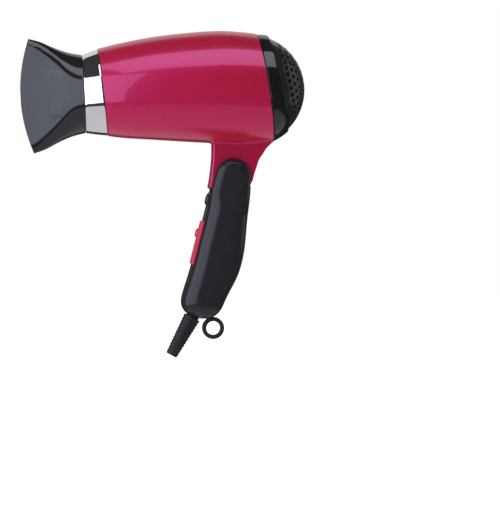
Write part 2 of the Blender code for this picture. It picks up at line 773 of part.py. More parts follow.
def make_heater_leads():
    """The supply leads, up the neck from the hinge and forward to the heater."""
    route = [(-1.0, 0.0, PIVOT.z + 0.6), (-2.0, 0.0, PIVOT.z + 7.0), (-4.5, 0.0, -44.0), (-8.0, 0.0, -36.2),
             (-13.0, 0.0, -32.9), (-23.0, 0.0, -30.0), (-29.0, 0.6, -22.0), (-31.5, 1.2, -8.0)]
    wire("heater_leads", smooth_path(route, 4), 1.3, "wire_sleeve", "barrel")


# ---------------------------------------------------------------- handle

def end_factor(a):
    """Shrinks the handle's section towards its rounded lower end."""
    u = max(0.0, (a - (HANDLE_END - HANDLE_END_ROUND)) / HANDLE_END_ROUND)
    return math.sqrt(max(0.0, 1 - u ** 3))


def handle_sizes(a):
    """Front reach, rear reach, half thickness and squareness of the handle's section at a."""
    top = math.sqrt(max(0.0, 1 - (min(a, 0.0) / HANDLE_TOP) ** 2))
    domed = max(0.0, 1 - abs(min(a, 0.0) / HANDLE_TOP) ** 4) ** 0.25
    end = end_factor(a)
    blend = min(max((a - 12.0) / 14.0, 0.0), 1.0)
    squareness = 4.0 - 1.5 * blend * blend * (3 - 2 * blend)
    return (value_at(HANDLE_FRONT, a) * top * end, value_at(HANDLE_REAR, a) * top * end,
            value_at(HANDLE_HALF, a) * domed * end, squareness)


def handle_ring(a, depth=0.0, sides=HANDLE_SIDES):
    front, rear, half, squareness = handle_sizes(a)
    points = []
    for k in range(sides):
        angle = 2 * math.pi * (k + 0.5) / sides
        along, across_y = power(math.cos(angle), 2 / squareness), power(math.sin(angle), 2 / squareness)
        reach = (front if along > 0 else rear) - depth
        points.append(Vector((a, along * reach, across_y * (half - depth))))
    return points


def slot_outline():
    """The space between the cheeks that the neck swings through."""
    start = math.degrees(math.acos(SLOT_SHOULDER / SLOT_RADIUS))
    outline = [(-30.0, 30.0), (SLOT_SHOULDER, 30.0)]
    outline += arc((0.0, 0.0), SLOT_RADIUS, start, -36.0, 10)
    outline += arc((0.0, 0.0), NECK_DISC + 0.5, -58.0, -91.0, 4)
    return outline + [(-0.3, -30.0), (-30.0, -30.0)]


def relief_frame():
    """Along the cord outlet, from the handle's lower end."""
    direction = Vector((math.cos(RELIEF_TILT), math.sin(RELIEF_TILT), 0.0))
    return handle_frame() @ axis_frame((*RELIEF_START, 0.0), direction)


def slider_arc(a, reach, half, spread):
    """Outline across the handle's front at a, from one edge of the slider to the other."""
    squareness = handle_sizes(SLIDER_SECTION)[3]
    points = []
    for k in range(13):
        angle = spread * (k / 6 - 1)
        points.append(Vector((a, power(math.cos(angle), 2 / squareness) * reach,
                              power(math.sin(angle), 2 / squareness) * half)))
    return points


def slider_plate(low, high, bottom, top, spread):
    """A curved plate lying on the handle's front between the levels bottom and top over its surface."""
    front, _, half, _ = handle_sizes(SLIDER_SECTION)
    rings = []
    for a in (low, high):
        outer = slider_arc(a, front + top, half + top, spread)
        inner = slider_arc(a, front + bottom, half + bottom, spread)
        rings.append(outer + list(reversed(inner)))
    return loft(rings)


def oval(centre, length, width, low, high, steps=16):
    """An oval bar along b, its length along a."""
    rings = []
    for level in (low, high):
        ring = []
        for k in range(steps):
            angle = 2 * math.pi * k / steps
            ring.append(Vector((centre + length / 2 * math.cos(angle), level, width / 2 * math.sin(angle))))
        rings.append(ring)
    return loft(rings)


def at_handle_screws(low, high, radius, sides):
    """Equal bars along y at every handle screw."""
    return merged(*[rod((a, b, low), (a, b, high), radius, sides) for a, b in HANDLE_SCREWS])


def handle_cutters(frame):
    """Everything that both handle shells leave room for."""
    top, bottom = 20.9, 100.9
    levels = [top] + [a for a in HANDLE_RINGS if top + 0.1 < a < bottom] + [bottom]
    stem = SLIDER_TOP + STEM_START
    stem_slot = box((stem - SLIDER_TRAVEL - 0.5, 9.0, -STEM_HALF - 0.4),
                    (stem + STEM_LENGTH + 0.5, 16.0, STEM_HALF + 0.4))
    loop_slot = box((96.0, -11.9, -1.8), (106.0, -7.3, 1.8))
    hole = oval(BUTTON_CENTRE, BUTTON_LENGTH + 2 * GAP, BUTTON_WIDTH + 2 * GAP, 8.0, 18.0)
    cavity = loft([handle_ring(a, HANDLE_WALL) for a in levels])
    pockets = rod((0, 0, -12.8), (0, 0, 12.8), HINGE_BORE, 32)
    slot = handle_plate(slot_outline(), -CHEEK_GAP, CHEEK_GAP)
    return {
        "cavity": add_tool("handle_cavity", cavity, "handle", frame),
        "slot": add_tool("neck_slot", slot, "handle", frame),
        "pockets": add_tool("hinge_pockets", pockets, "handle", frame),
        "channel": add_tool("lead_channel", box((0.0, -1.6, 10.9), (24.0, 1.6, 14.0)), "handle", frame),
        "relief": add_tool("relief_hole", rod((0, 0, -12), (0, 0, 4), 5.0, 20), "handle", relief_frame()),
        "loop": add_tool("loop_slot", loop_slot, "handle", frame),
        "stem": add_tool("slider_slot", stem_slot, "handle", frame),
        "button": add_tool("button_hole", hole, "handle", frame),
    }


def make_handle_shells():
    frame = handle_frame()
    tools = handle_cutters(frame)
    bosses = add_tool("handle_bosses", at_handle_screws(-14.0, 14.0, 3.5, 16), "handle", frame)
    inside = loft([handle_ring(a, 0.8) for a in HANDLE_RINGS[1:-1]])
    boolean(bosses, add_tool("handle_inside", inside, "handle", frame), "INTERSECT")
    pilots = at_handle_screws(-9.0, 1.0, PILOT_RADIUS, 12)
    clearances = at_handle_screws(-1.0, HANDLE_SCREW_SEAT + 0.5, CLEARANCE_RADIUS, 12)
    pockets = at_handle_screws(HANDLE_SCREW_SEAT, 20.0, HANDLE_SCREW_POCKET, 16)
    pilots = add_tool("screw_pilots", pilots, "handle", frame)
    clearances = add_tool("screw_clearances", clearances, "handle", frame)
    pockets = add_tool("screw_pockets", pockets, "handle", frame)
    for side, side_name in ((-1, "left"), (1, "right")):
        bm = loft([handle_ring(a) for a in HANDLE_RINGS])
        shell = add_object("handle_shell_" + side_name, bm, "satin_black", "handle", frame)
        low, high = sorted((side * SPLIT_GAP, side * 30.0))
        half = box((-30.0, -40.0, low), (130.0, 40.0, high))
        half = add_tool("handle_half_" + side_name, half, "handle", frame)
        cut(shell, tools["cavity"])
        weld(shell, bosses)
        cut(shell, *[tools[name] for name in ("slot", "pockets", "relief", "loop", "stem", "button")])
        if side < 0:
            cut(shell, pilots)
        else:
            cut(shell, clearances, pockets, tools["channel"])
        boolean(shell, half, "INTERSECT")


def make_hinge():
    """The hollow hinge tube that carries the leads, and a friction washer in each gap beside the neck."""
    frame = axis_frame(PIVOT, (0.0, 1.0, 0.0))
    profile = ring_profile(HINGE_TUBE, HINGE_TUBE_BORE, -HINGE_TUBE_HALF, HINGE_TUBE_HALF)
    tube = turned("hinge_tube", profile, "zinc_steel", "handle", frame, 32)
    window = box((-9.0, -4.2, PIVOT.z - 3.0), (9.0, 4.2, PIVOT.z + 9.0))
    notch = box((1.0, -1.6, 10.9), (8.0, 1.6, 13.0))
    cut(tube, add_tool("hinge_window", window, "handle"))
    cut(tube, add_tool("hinge_notch", notch, "handle", handle_frame()))
    for side, name in ((-1, "left"), (1, "right")):
        low, high = sorted((side * (NECK_HALF + GAP), side * (CHEEK_GAP - GAP)))
        washer = ring_profile(WASHER_RADIUS, HINGE_BORE + 0.1, low, high)
        turned("friction_washer_" + name, washer, "white_nylon", "handle", frame, 24)


def make_circuit():
    """Board behind the front wall, carrying the slide switch and the button's small switch."""
    frame = handle_frame()
    add_object("circuit_board", box((22.0, -3.0, -9.5), (74.0, -1.4, 9.5)), "circuit_board", "handle", frame)
    body = add_object("switch_body", box((38.0, -1.1, -6.0), (63.0, 7.4, 6.0)), "matt_black", "handle", frame)
    cut(body, add_tool("switch_channel", box((34.0, 4.4, -1.9), (57.0, 9.0, 1.9)), "handle", frame))
    add_object("button_switch", box((21.9, -0.9, -3.2), (28.6, 5.2, 3.2)), "matt_black", "handle", frame)


def make_switch_slider():
    frame = handle_frame()
    low, high = SLIDER_TOP, SLIDER_TOP + SLIDER_LENGTH
    plate = slider_plate(low, high, 0.25, 1.25, SLIDER_SPREAD)
    slider = add_object("switch_slider", plate, "switch_pink", "switch", frame)
    stem_start = low + STEM_START
    stem = box((stem_start, 5.0, -STEM_HALF), (stem_start + STEM_LENGTH, 13.1, STEM_HALF))
    nub = oval(low + 9.0, 6.5, 9.0, 13.1, 15.3, 12)
    weld(slider, add_tool("slider_stem", stem, "switch", frame), add_tool("slider_nub", nub, "switch", frame))


def make_button():
    """The oval push button, its plunger, and the coil spring under its cap."""
    frame = handle_frame()
    crown = handle_sizes(BUTTON_CENTRE)[0] + BUTTON_PROUD
    bm = oval(BUTTON_CENTRE, BUTTON_LENGTH, BUTTON_WIDTH, 12.2, crown)
    cap = add_object("button_cap", bm, "gloss_black", "button", frame)
    rounding = cap.modifiers.new("rounding", "BEVEL")
    rounding.width = 0.5 * MM
    rounding.segments = 2
    rounding.limit_method = "ANGLE"
    plunger = rod((PLUNGER_A, 6.7, 0.0), (PLUNGER_A, 12.6, 0.0), 0.8, 12)
    weld(cap, add_tool("button_plunger", plunger, "button", frame))
    turns, sides, radius, base, height = 4, 8, 1.3, 5.9, 4.6
    points = []
    for k in range(turns * sides + 1):
        along, over = polar(radius, 360.0 * k / sides)
        points.append((PLUNGER_A + along, base + height * k / (turns * sides), over))
    wire("button_spring", points, 0.25, "steel_shaft", "handle", frame, bevel_resolution=1)


def make_cord_clamp():
    """The clamp across the cord inside the handle: a base, a strap and the two cheeks between them."""
    frame = handle_frame()
    top, bottom, half = 80.0, 87.0, 6.5
    base = box((top, -6.2, -half), (bottom, -3.2, half))
    strap = box((top, 3.2, -half), (bottom, 5.6, half))
    clamp = add_object("cord_clamp", base, "white_nylon", "handle", frame)
    weld(clamp, add_tool("clamp_strap", strap, "handle", frame))
    for low, high in ((-half, -4.2), (4.2, half)):
        cheek = box((top, -3.5, low), (bottom, 3.5, high))
        weld(clamp, add_tool("clamp_cheek", cheek, "handle", frame))


def make_strain_relief():
    """A ribbed tapered boot for the cord, gripped by the handle's lower end."""
    profile = [(5.85, 0.9), (4.6, 0.9), (4.6, -4.2), (5.6, -4.2), (5.6, -6.2), (CORD_BORE, -6.2),
               (CORD_BORE, RELIEF_LENGTH)]
    ribs = []
    pitch = (RELIEF_LENGTH - 1.6) / RELIEF_RIBS
    for k in range(RELIEF_RIBS):
        s = 1.6 + pitch * k
        radius = RELIEF_ROOT - (RELIEF_ROOT - RELIEF_TIP) * k / (RELIEF_RIBS - 1)
        ribs += [(radius, s), (radius - RELIEF_GROOVE, s + pitch * 0.7)]
    ribs.append((RELIEF_TIP, RELIEF_LENGTH))
    turned("strain_relief", list(reversed(ribs)) + profile, "black_rubber", "handle", relief_frame(), 12)


def make_hang_loop():
    frame = handle_frame()
    centre = handle_frame() @ Vector((*LOOP_CENTRE, 0.0))
    washer = ring_profile(LOOP_OUTER, LOOP_INNER, -LOOP_HALF, LOOP_HALF)
    loop = turned("hang_loop", washer, "black_rubber", "handle", axis_frame(centre, (0.0, 1.0, 0.0)), 32)
    stem = box((95.5, -11.5, -1.5), (102.2, -7.6, 1.5))
    head = box((94.6, -11.2, -3.4), (96.2, -7.8, 3.4))
    weld(loop, add_tool("loop_stem", stem, "handle", frame), add_tool("loop_head", head, "handle", frame))


def make_handle_leads():
    """The leads from the switch up the right cheek and across into the hinge tube."""
    route = [(36.0, 2.0, 9.5), (30.0, 1.0, 11.2), (24.0, 0.0, 12.1), (14.0, 0.0, 12.5), (4.0, 0.0, 12.5),
             (0.6, 0.0, 11.0), (0.0, 0.0, 8.0), (0.0, 0.0, 5.0)]
    wire("handle_leads", smooth_path(route, 3), 1.0, "wire_sleeve", "handle", handle_frame())


def screw(name, frame, length, head_radius, shank_radius, body):
    """A cheese-head screw, its head's underside at the frame's origin and its shank along -Z."""
    profile = [(0.0, 1.4), (0.9, 1.4), (0.9, 2.0), (head_radius, 1.7), (head_radius, 0.0),
               (shank_radius, 0.0), (shank_radius, -length), (0.0, -length - 0.6)]
    turned(name, profile, "zinc_steel", body, frame, 16)


def make_screws():
    for k, (a, b) in enumerate(HANDLE_SCREWS):
        spot = handle_frame() @ Vector((a, b, HANDLE_SCREW_SEAT + GAP))
        screw("handle_screw_%d" % (k + 1), axis_frame(spot, (0.0, 1.0, 0.0)), 16.0, 2.7, 1.15, "handle")
    spot = (NECK_SCREW[0], NECK_SCREW_SEAT + GAP, NECK_SCREW[1])
    screw("neck_screw", axis_frame(spot, (0.0, 1.0, 0.0)), 11.0, 2.6, 1.3, "barrel")


# ---------------------------------------------------------------- assembly

clear_scene()
PARTS = new_collection("hair_dryer")
CUTTERS = new_collection("hair_dryer_cutters")
BODIES = {}
add_body("barrel", Matrix())
add_body("handle", handle_frame())
add_body("nozzle", nozzle_frame())
add_body("fan", fan_frame())
add_body("switch", handle_frame())
add_body("button", handle_frame())

make_barrel_shells()
make_front_ring()
make_outlet_grille()
make_rear_ring()
make_intake_grille()
make_nozzle()
make_heater_boards()
make_heating_coils()
make_heat_shield()
make_thermal_cutouts()
make_fan_duct()
make_motor()
make_fan()
make_heater_leads()
make_handle_shells()
make_hinge()
make_circuit()
make_switch_slider()
make_button()
make_cord_clamp()
make_strain_relief()
make_hang_loop()
make_handle_leads()
make_screws()
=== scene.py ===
"""The looks of the folding travel hair dryer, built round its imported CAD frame.

Lengths are in millimetres in the dryer's own layout: x from the fold pivot towards the air intake,
y from the left side to the right side, z up from the fan's axis. place() turns them into the frame.
The handle has a layout of its own: a from the pivot down the handle, b towards the front, y as before.
"""

import json
import math

import bmesh
import bpy
import numpy as np
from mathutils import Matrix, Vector


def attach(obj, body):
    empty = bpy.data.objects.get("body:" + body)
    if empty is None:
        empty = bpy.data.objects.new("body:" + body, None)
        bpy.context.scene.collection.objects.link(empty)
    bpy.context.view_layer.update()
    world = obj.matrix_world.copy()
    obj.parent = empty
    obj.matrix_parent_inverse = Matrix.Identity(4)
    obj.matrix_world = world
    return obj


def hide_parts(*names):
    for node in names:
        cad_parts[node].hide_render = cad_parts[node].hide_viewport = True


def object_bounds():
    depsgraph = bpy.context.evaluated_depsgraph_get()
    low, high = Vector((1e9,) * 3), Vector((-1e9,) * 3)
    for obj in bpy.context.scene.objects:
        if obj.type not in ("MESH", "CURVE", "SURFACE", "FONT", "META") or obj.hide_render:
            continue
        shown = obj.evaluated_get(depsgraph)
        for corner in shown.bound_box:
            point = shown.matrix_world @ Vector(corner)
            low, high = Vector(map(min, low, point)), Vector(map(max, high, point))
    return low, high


MM = 0.001
PIVOT = np.array([0.0, 0.0, -60.3])

# Barrel: station x, radius, height of the centre
BARREL_STATIONS = [
    (-95.0, 29.7, -1.7),
    (-77.0, 33.1, -0.7),
    (-55.0, 35.9, 0.7),
    (-32.0, 38.0, 1.4),
    (-10.0, 39.3, 1.6),
    (7.0, 39.0, 1.1),
    (18.0, 38.0, 0.7),
    (30.0, 36.3, 0.2),
]
SEAM_GAP = 0.25
PARTING = 0.02
SHELL_WALL = 2.0
CASING_SPACE = ((-98.0, -3.0, -77.0), (34.0, 42.0, 43.5))
CASING_CELL = 0.9

# Rings that slant across the barrel: their top and bottom as (x, z), and their half width along Y
FRONT_SEAM, FRONT_SEAM_HALF = ((-94.4, 27.7), (-87.4, -32.2)), 30.4
RING_SWELL, RING_SWELL_HALF = ((-99.5, 25.9), (-94.8, -31.5)), 28.9
RING_EDGE, RING_EDGE_HALF = ((-104.7, 23.8), (-102.2, -30.5)), 27.2
REAR_SEAM, REAR_SEAM_HALF = ((17.2, 38.4), (28.9, -36.3)), 37.4
BAND_SWELL, BAND_SWELL_HALF = ((20.9, 38.4), (34.3, -33.4)), 36.4
BAND_EDGE = ((24.3, 38.0), (39.1, -29.7))

# Neck: its front and rear edges, as (height above the pivot, x)
NECK_FRONT = [(-12.0, -17.6), (-1.7, -15.7), (11.0, -14.3), (22.0, -14.0), (34.0, -14.0)]
NECK_REAR = [(-6.0, 13.4), (-3.4, 13.9), (-1.2, 14.4), (2.6, 15.5), (6.8, 16.9), (11.0, 18.3), (15.3, 21.1),
             (19.5, 23.9), (24.0, 28.4), (34.0, 36.0)]
NECK_HALF = 9.2
NECK_DISC = 13.9
NECK_FINGER = 19.6
NECK_ROUND = 1.4
NECK_BLEND = 2.6
NECK_TOP = 40.0
NECK_UNDERSIDE = (14.0, -3.4)
NECK_UNDERSIDE_RISE = 0.192
HINGE_BORE = 6.2

# Nozzle: distance along its axis, half height, half thickness, squareness, bow of the mouth
NOZZLE_ORIGIN = np.array([-103.5, 0.0, -3.3])
NOZZLE_AXIS = np.array([-0.99897, 0.0, -0.04536])
NOZZLE_UP = np.array([-0.04536, 0.0, 0.99897])
NOZZLE_STATIONS = [
    (0.3, 27.2, 27.2, 2.0, 0.0),
    (8.0, 28.8, 25.0, 2.0, 0.0),
    (14.0, 30.6, 21.8, 2.2, 0.4),
    (19.0, 32.3, 18.0, 2.5, 1.2),
    (25.0, 34.4, 13.8, 2.9, 2.6),
    (31.0, 36.6, 10.6, 3.2, 4.2),
    (37.0, 38.3, 8.0, 3.5, 5.8),
    (44.2, 39.9, 6.3, 3.8, 7.3),
]
NOZZLE_START, NOZZLE_END = NOZZLE_STATIONS[0][0], NOZZLE_STATIONS[-1][0]
NOZZLE_WALL = 1.8
NOZZLE_COLLAR_END = 10.4
NOZZLE_SIDES = 128
# The rolled lip at the mouth, as (depth into the wall, distance back from the mouth)
NOZZLE_LIP = ((0.0, 0.7), (0.12, 0.3), (0.45, 0.05), (0.9, 0.0), (1.35, 0.05), (1.68, 0.3), (1.8, 0.7))
SPIGOT_RADIUS = 22.8
SPIGOT_LENGTH = 7.0
SPIGOT_WALL = 1.7
SPIGOT_CLEARANCE = 0.3

# Intake dome and its seat in the rear band; base and seat are distances from its centre along its axis
DOME_CENTRE = np.array([12.45, 0.0, -0.3])
DOME_RADIUS = 38.45
DOME_WALL = 1.8
DOME_TILT = math.radians(12.2)
DOME_BASE = 18.4
DOME_CLEARANCE = 0.3
DOME_SEAT = 19.5
LEDGE_RADIUS = 32.6
GRILLE_SPACE = ((22.0, -35.0, -31.0), (52.5, 35.0, 38.5))
GRILLE_CELL = 0.55
HOLE_ROWS = 6
HOLE_RADIUS = 1.5
HOLE_ROW_STEP = math.radians(7.85)

# Handle
HANDLE_LEAN = math.radians(14.3)
HANDLE_TOP = 13.1
HANDLE_END = 103.0
HANDLE_END_ROUND = 15.0
HANDLE_FRONT = [(0.0, 13.3), (12.0, 13.3), (24.0, 12.7), (30.0, 12.6), (48.0, 12.6), (66.0, 12.6),
                (76.0, 12.9), (86.0, 13.5), (103.0, 13.9)]
HANDLE_REAR = [(0.0, 13.6), (14.0, 16.0), (30.0, 18.4), (50.0, 21.4), (66.0, 21.3), (84.0, 17.4),
               (103.0, 14.6)]
HANDLE_HALF = [(0.0, 15.4), (30.0, 15.4), (60.0, 15.8), (84.0, 15.2), (103.0, 14.6)]
HANDLE_WALL = 2.0
HANDLE_CAVITY_TOP = 20.9
HANDLE_SPACE = ((-38.5, -0.6, -163.5), (15.5, 17.0, -45.5))
HANDLE_CELL = 0.55
SQUARE_CHEEKS, SQUARE_GRIP = 4.0, 2.5
SQUARE_FROM, SQUARE_OVER = 12.0, 14.0
CHEEK_GAP = 10.3
SLOT_RADIUS = 19.9
SLOT_FRONT = 14.95
SLOT_REAR = -12.2
HANDLE_SCREWS = [(27.5, -12.0), (63.0, -15.5), (90.5, -8.2)]
SCREW_BOSS = 4.2
SCREW_SEAT = 9.0
SCREW_POCKET = 3.1
NECK_SCREW = (12.5, -44.5)
NECK_SCREW_SEAT = 5.5
NECK_SCREW_POCKET = 3.0

# Controls
SLIDER_TOP = 36.0
SLIDER_LENGTH = 31.0
SLIDER_SPREAD = math.radians(33.0)
SLIDER_OUTER, SLIDER_INNER = 1.25, 0.25
SLIDER_SLOT = (44.0, 9.5, 2.1)
NUB_CENTRE = 9.0
NUB_LENGTH, NUB_WIDTH = 6.5, 9.0
BUTTON_CENTRE = 20.1
BUTTON_LENGTH = 8.4
BUTTON_WIDTH = 7.0
BUTTON_PROUD = 1.5
BUTTON_FOOT = 12.2

# Cord outlet and hanging ring
RELIEF_START = (102.7, 2.6)
RELIEF_TILT = math.radians(14.5)
RELIEF_LENGTH = 31.0
RELIEF_RIBS = 12
RELIEF_FIRST_RIB, RELIEF_LAST_RIB = 6.0, 4.4
RELIEF_GROOVE = 0.42
CORD_BORE = 2.9
LOOP_CENTRE = (107.1, -13.5)
LOOP_OUTER = 7.8
LOOP_INNER = 4.85
LOOP_HALF = 2.0
LOOP_SPACE = ((-23.5, -4.2, -178.0), (-3.5, 4.2, -151.0))
LOOP_CELL = 0.4

# Studio: how bright reflections see the room and the floor, and the light that fills shadows
ROOM_GLOW = 0.04
FLOOR_GLOW = 0.6
FILL_GLOW = 0.6
FLOOR_EDGE = (-0.63, -0.60)  # between these heights of a view direction, floor fades into room
FLOOR_DROP = 0.06
COOL_LIGHT = (0.86, 0.93, 1.10)
# Soft boxes, in metres from the barrel's middle: name, place, (width, height), radiance, colour
SOFT_BOXES = [
    ("left_box", (-0.60, -0.70, 0.06), (0.84, 1.20), 2.5, COOL_LIGHT),
    ("nose_box", (-1.00, -0.13, 0.06), (0.64, 1.36), 2.5, COOL_LIGHT),
    ("top_box", (0.10, -0.40, 0.80), (1.05, 0.60), 2.8, (0.92, 0.95, 1.05)),
    ("back_box", (-0.10, 0.90, 0.45), (1.40, 0.90), 0.65, (1.0, 1.0, 1.0)),
    ("right_box", (0.95, 0.25, 0.15), (0.60, 0.90), 0.5, (1.0, 1.0, 1.0)),
]

# Camera: what it looks at in the dryer's layout, from where, and the width it sees there in metres
CAMERA_AIM = (12.7, 0.0, -123.9)
CAMERA_AZIMUTH = math.radians(-5.0)
CAMERA_ELEVATION = math.radians(3.0)
CAMERA_DISTANCE = 1.7
CAMERA_WIDTH = 0.352
CAMERA_SENSOR = 36.0

# Where noise does its work within its 0 to 1, and how deep a bump goes, in metres
NOISE_RANGE = (0.3, 0.7)
BUMP_DEPTH = 0.0001

SIDEWAYS = np.array([0.0, 1.0, 0.0])


# ---------------------------------------------------------------- placing

def pivot_in_frame(frame):
    joint = next(j for j in frame["joints"] if j["name"] == "handle_fold")
    return np.array(joint["pos_m"])


def place(points):
    """Points of the dryer's layout, in the frame's metres."""
    return ROW_PIVOT + (np.asarray(points, float) - PIVOT) * MM


HANDLE_DOWN = np.array([-math.sin(HANDLE_LEAN), 0.0, -math.cos(HANDLE_LEAN)])
HANDLE_FORWARD = np.array([-math.cos(HANDLE_LEAN), 0.0, math.sin(HANDLE_LEAN)])


def from_handle(points):
    """Handle layout (a, b, y) to the dryer's layout."""
    a, b, y = (np.asarray(points, float)[..., k:k + 1] for k in range(3))
    return PIVOT + a * HANDLE_DOWN + b * HANDLE_FORWARD + y * SIDEWAYS


def to_handle(points):
    offset = points - PIVOT
    return offset @ HANDLE_DOWN, offset @ HANDLE_FORWARD, offset[:, 1]


# ---------------------------------------------------------------- curves and fields

def value_at(stations, t, column=1):
    """Smooth values at t (an array) of a curve through the stations (t, value, ...)."""
    table = np.array(stations, float)
    knots, values = table[:, 0], table[:, column]
    slopes = np.gradient(values, knots)
    slopes[1:-1] = (values[2:] - values[:-2]) / (knots[2:] - knots[:-2])
    t = np.clip(np.asarray(t, float), knots[0], knots[-1])
    i = np.clip(np.searchsorted(knots, t, side="right") - 1, 0, len(knots) - 2)
    span = knots[i + 1] - knots[i]
    u = (t - knots[i]) / span
    return ((2 * u ** 3 - 3 * u ** 2 + 1) * values[i] + (u ** 3 - 2 * u ** 2 + u) * slopes[i] * span
            + (3 * u ** 2 - 2 * u ** 3) * values[i + 1] + (u ** 3 - u ** 2) * slopes[i + 1] * span)


def smooth_min(first, second, blend):
    share = np.clip(0.5 + 0.5 * (second - first) / blend, 0.0, 1.0)
    return second * (1 - share) + first * share - blend * share * (1 - share)


def smooth_max(first, second, blend):
    return -smooth_min(-first, -second, blend)


def barrel_field(points):
    """Below zero inside the egg-shaped barrel, its ends left long."""
    x, y, z = points.T
    radius = value_at(BARREL_STATIONS, x, 1)
    centre = value_at(BARREL_STATIONS, x, 2)
    return np.hypot(y, z - centre) - radius


def neck_field(points):
    """Below zero inside the neck tab, hinge bore included."""
    x, y, z = (points - PIVOT).T
    ground = NECK_UNDERSIDE[1] + NECK_UNDERSIDE_RISE * (x - NECK_UNDERSIDE[0])
    tab = np.maximum(value_at(NECK_FRONT, z) - x, x - value_at(NECK_REAR, z))
    tab = np.maximum(tab, ground - z)
    from_pivot = np.hypot(x, z)
    tab = np.maximum(tab, np.where(z < 0.0, from_pivot - NECK_FINGER, tab))
    outline = smooth_min(tab, from_pivot - NECK_DISC, blend=1.0)
    slab = smooth_max(outline, np.abs(y) - NECK_HALF, NECK_ROUND)
    return smooth_max(slab, z - NECK_TOP, blend=1.0)


def left_casing_field(points):
    joined = smooth_min(barrel_field(points), neck_field(points), NECK_BLEND)
    bore = HINGE_BORE - np.hypot(points[:, 0], points[:, 2] - PIVOT[2])
    return smooth_max(joined, bore, blend=0.8)


def right_casing_field(points):
    """The right half also has the neck screw's pocket."""
    x, y, z = points.T
    bar = np.hypot(x - NECK_SCREW[0], z - NECK_SCREW[1]) - NECK_SCREW_POCKET
    return smooth_max(left_casing_field(points), -np.maximum(bar, NECK_SCREW_SEAT - y), blend=0.6)


def gradient(field, points, reach=0.02):
    slope = np.empty_like(points)
    for axis in range(3):
        step = np.zeros(3)
        step[axis] = reach
        slope[:, axis] = (field(points + step) - field(points - step)) / (2 * reach)
    return slope


def settle(field, points, rounds, limit):
    """Moves points along the field's slope onto its zero surface."""
    for _ in range(rounds):
        value, slope = field(points), gradient(field, points)
        move = slope * (value / np.maximum((slope ** 2).sum(1), 1e-6))[:, None]
        length = np.linalg.norm(move, axis=1, keepdims=True)
        points = points - move * np.minimum(1.0, limit / np.maximum(length, 1e-9))
    return points


def relax(points, quads, share=0.5):
    """Pulls each point towards the middle of its neighbours."""
    total, count = np.zeros_like(points), np.zeros(len(points))
    for k in range(4):
        here, there = quads[:, k], quads[:, (k + 1) % 4]
        for one, other in ((here, there), (there, here)):
            for axis in range(3):
                total[:, axis] += np.bincount(one, points[other, axis], len(points))
            count += np.bincount(one, minlength=len(points))
    middle = total / np.maximum(count, 1)[:, None]
    return points + share * (middle - points)


def surface_net(field, space, step, rounds=2):
    """A quad mesh on the field's zero surface: one point for each grid cell that the surface crosses."""
    low, high = (np.array(corner, float) for corner in space)
    counts = np.ceil((high - low) / step).astype(int) + 1
    axes = [low[i] + step * np.arange(counts[i]) for i in range(3)]
    grid = np.stack([g.ravel() for g in np.meshgrid(*axes, indexing="ij")], 1)
    inside = (field(grid) < 0).reshape(counts)
    ends = (slice(0, -1), slice(1, None))
    total = sum(inside[i, j, k].astype(np.int8) for i in ends for j in ends for k in ends)
    active = (total > 0) & (total < 8)
    index = np.full(active.shape, -1)
    index[active] = np.arange(active.sum())
    points = low + step * (np.argwhere(active) + 0.5)
    quads = np.concatenate([net_quads(inside, index, axis) for axis in range(3)])
    points = settle(field, points, 3, step)
    for _ in range(rounds):
        points = settle(field, relax(points, quads), 2, step)
    return points, quads


def net_quads(inside, index, axis):
    """A quad round each grid edge along axis that the surface crosses, facing out."""
    lower_cut = [slice(1, -1)] * 3
    upper_cut = [slice(1, -1)] * 3
    lower_cut[axis], upper_cut[axis] = slice(0, -1), slice(1, None)
    lower, upper = inside[tuple(lower_cut)], inside[tuple(upper_cut)]
    crossed = lower != upper
    spots = np.argwhere(crossed)
    across_u = np.eye(3, dtype=int)[(axis + 1) % 3]
    across_v = np.eye(3, dtype=int)[(axis + 2) % 3]
    corners = [spots, spots + across_u, spots + across_u + across_v, spots + across_v]
    quads = np.stack([index[tuple(c.T)] for c in corners], 1)
    outward = lower[crossed]
    quads[~outward] = quads[~outward][:, ::-1]
    return quads


def mirrored(space, side):
    """A space given for the right side, or its mirror image where side is -1."""
    low, high = space
    left, right = sorted((side * low[1], side * high[1]))
    return (low[0], left, low[2]), (high[0], right, high[2])


# ---------------------------------------------------------------- meshes

def bmesh_from(points, faces):
    bm = bmesh.new()
    verts = [bm.verts.new(p) for p in points]
    for face in faces:
        bm.faces.new([verts[k] for k in face])
    return bm


def mesh_from(name, points, faces):
    mesh = bpy.data.meshes.new(name)
    mesh.from_pydata(points.tolist(), [], [tuple(face) for face in faces])
    mesh.update()
    return mesh


def finish_piece(name, mesh, material, body, slot, *nodes, sharp=50.0):
    """Turns a mesh drawn in the dryer's layout into a piece that rides on body and stands for nodes."""
    count = len(mesh.vertices)
    co = np.empty(count * 3)
    mesh.vertices.foreach_get("co", co)
    mesh.vertices.foreach_set("co", place(co.reshape(-1, 3)).ravel())
    mesh.update()
    mesh.shade_smooth()
    mesh.set_sharp_from_angle(angle=math.radians(sharp))
    mesh.materials.clear()
    mesh.materials.append(material)
    piece = bpy.data.objects.new(name, mesh)
    bpy.context.scene.collection.objects.link(piece)
    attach(piece, body)
    if nodes:
        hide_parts(*nodes)
    return piece


def from_bmesh(name, bm):
    mesh = bpy.data.meshes.new(name)
    bm.to_mesh(mesh)
    bm.free()
    return mesh


def cut_plane(bm, point, normal):
    """Removes what lies on the normal's side of a plane."""
    geometry = bm.verts[:] + bm.edges[:] + bm.faces[:]
    bmesh.ops.bisect_plane(bm, geom=geometry, dist=1e-4, plane_co=Vector(point), plane_no=Vector(normal),
                           clear_outer=True)


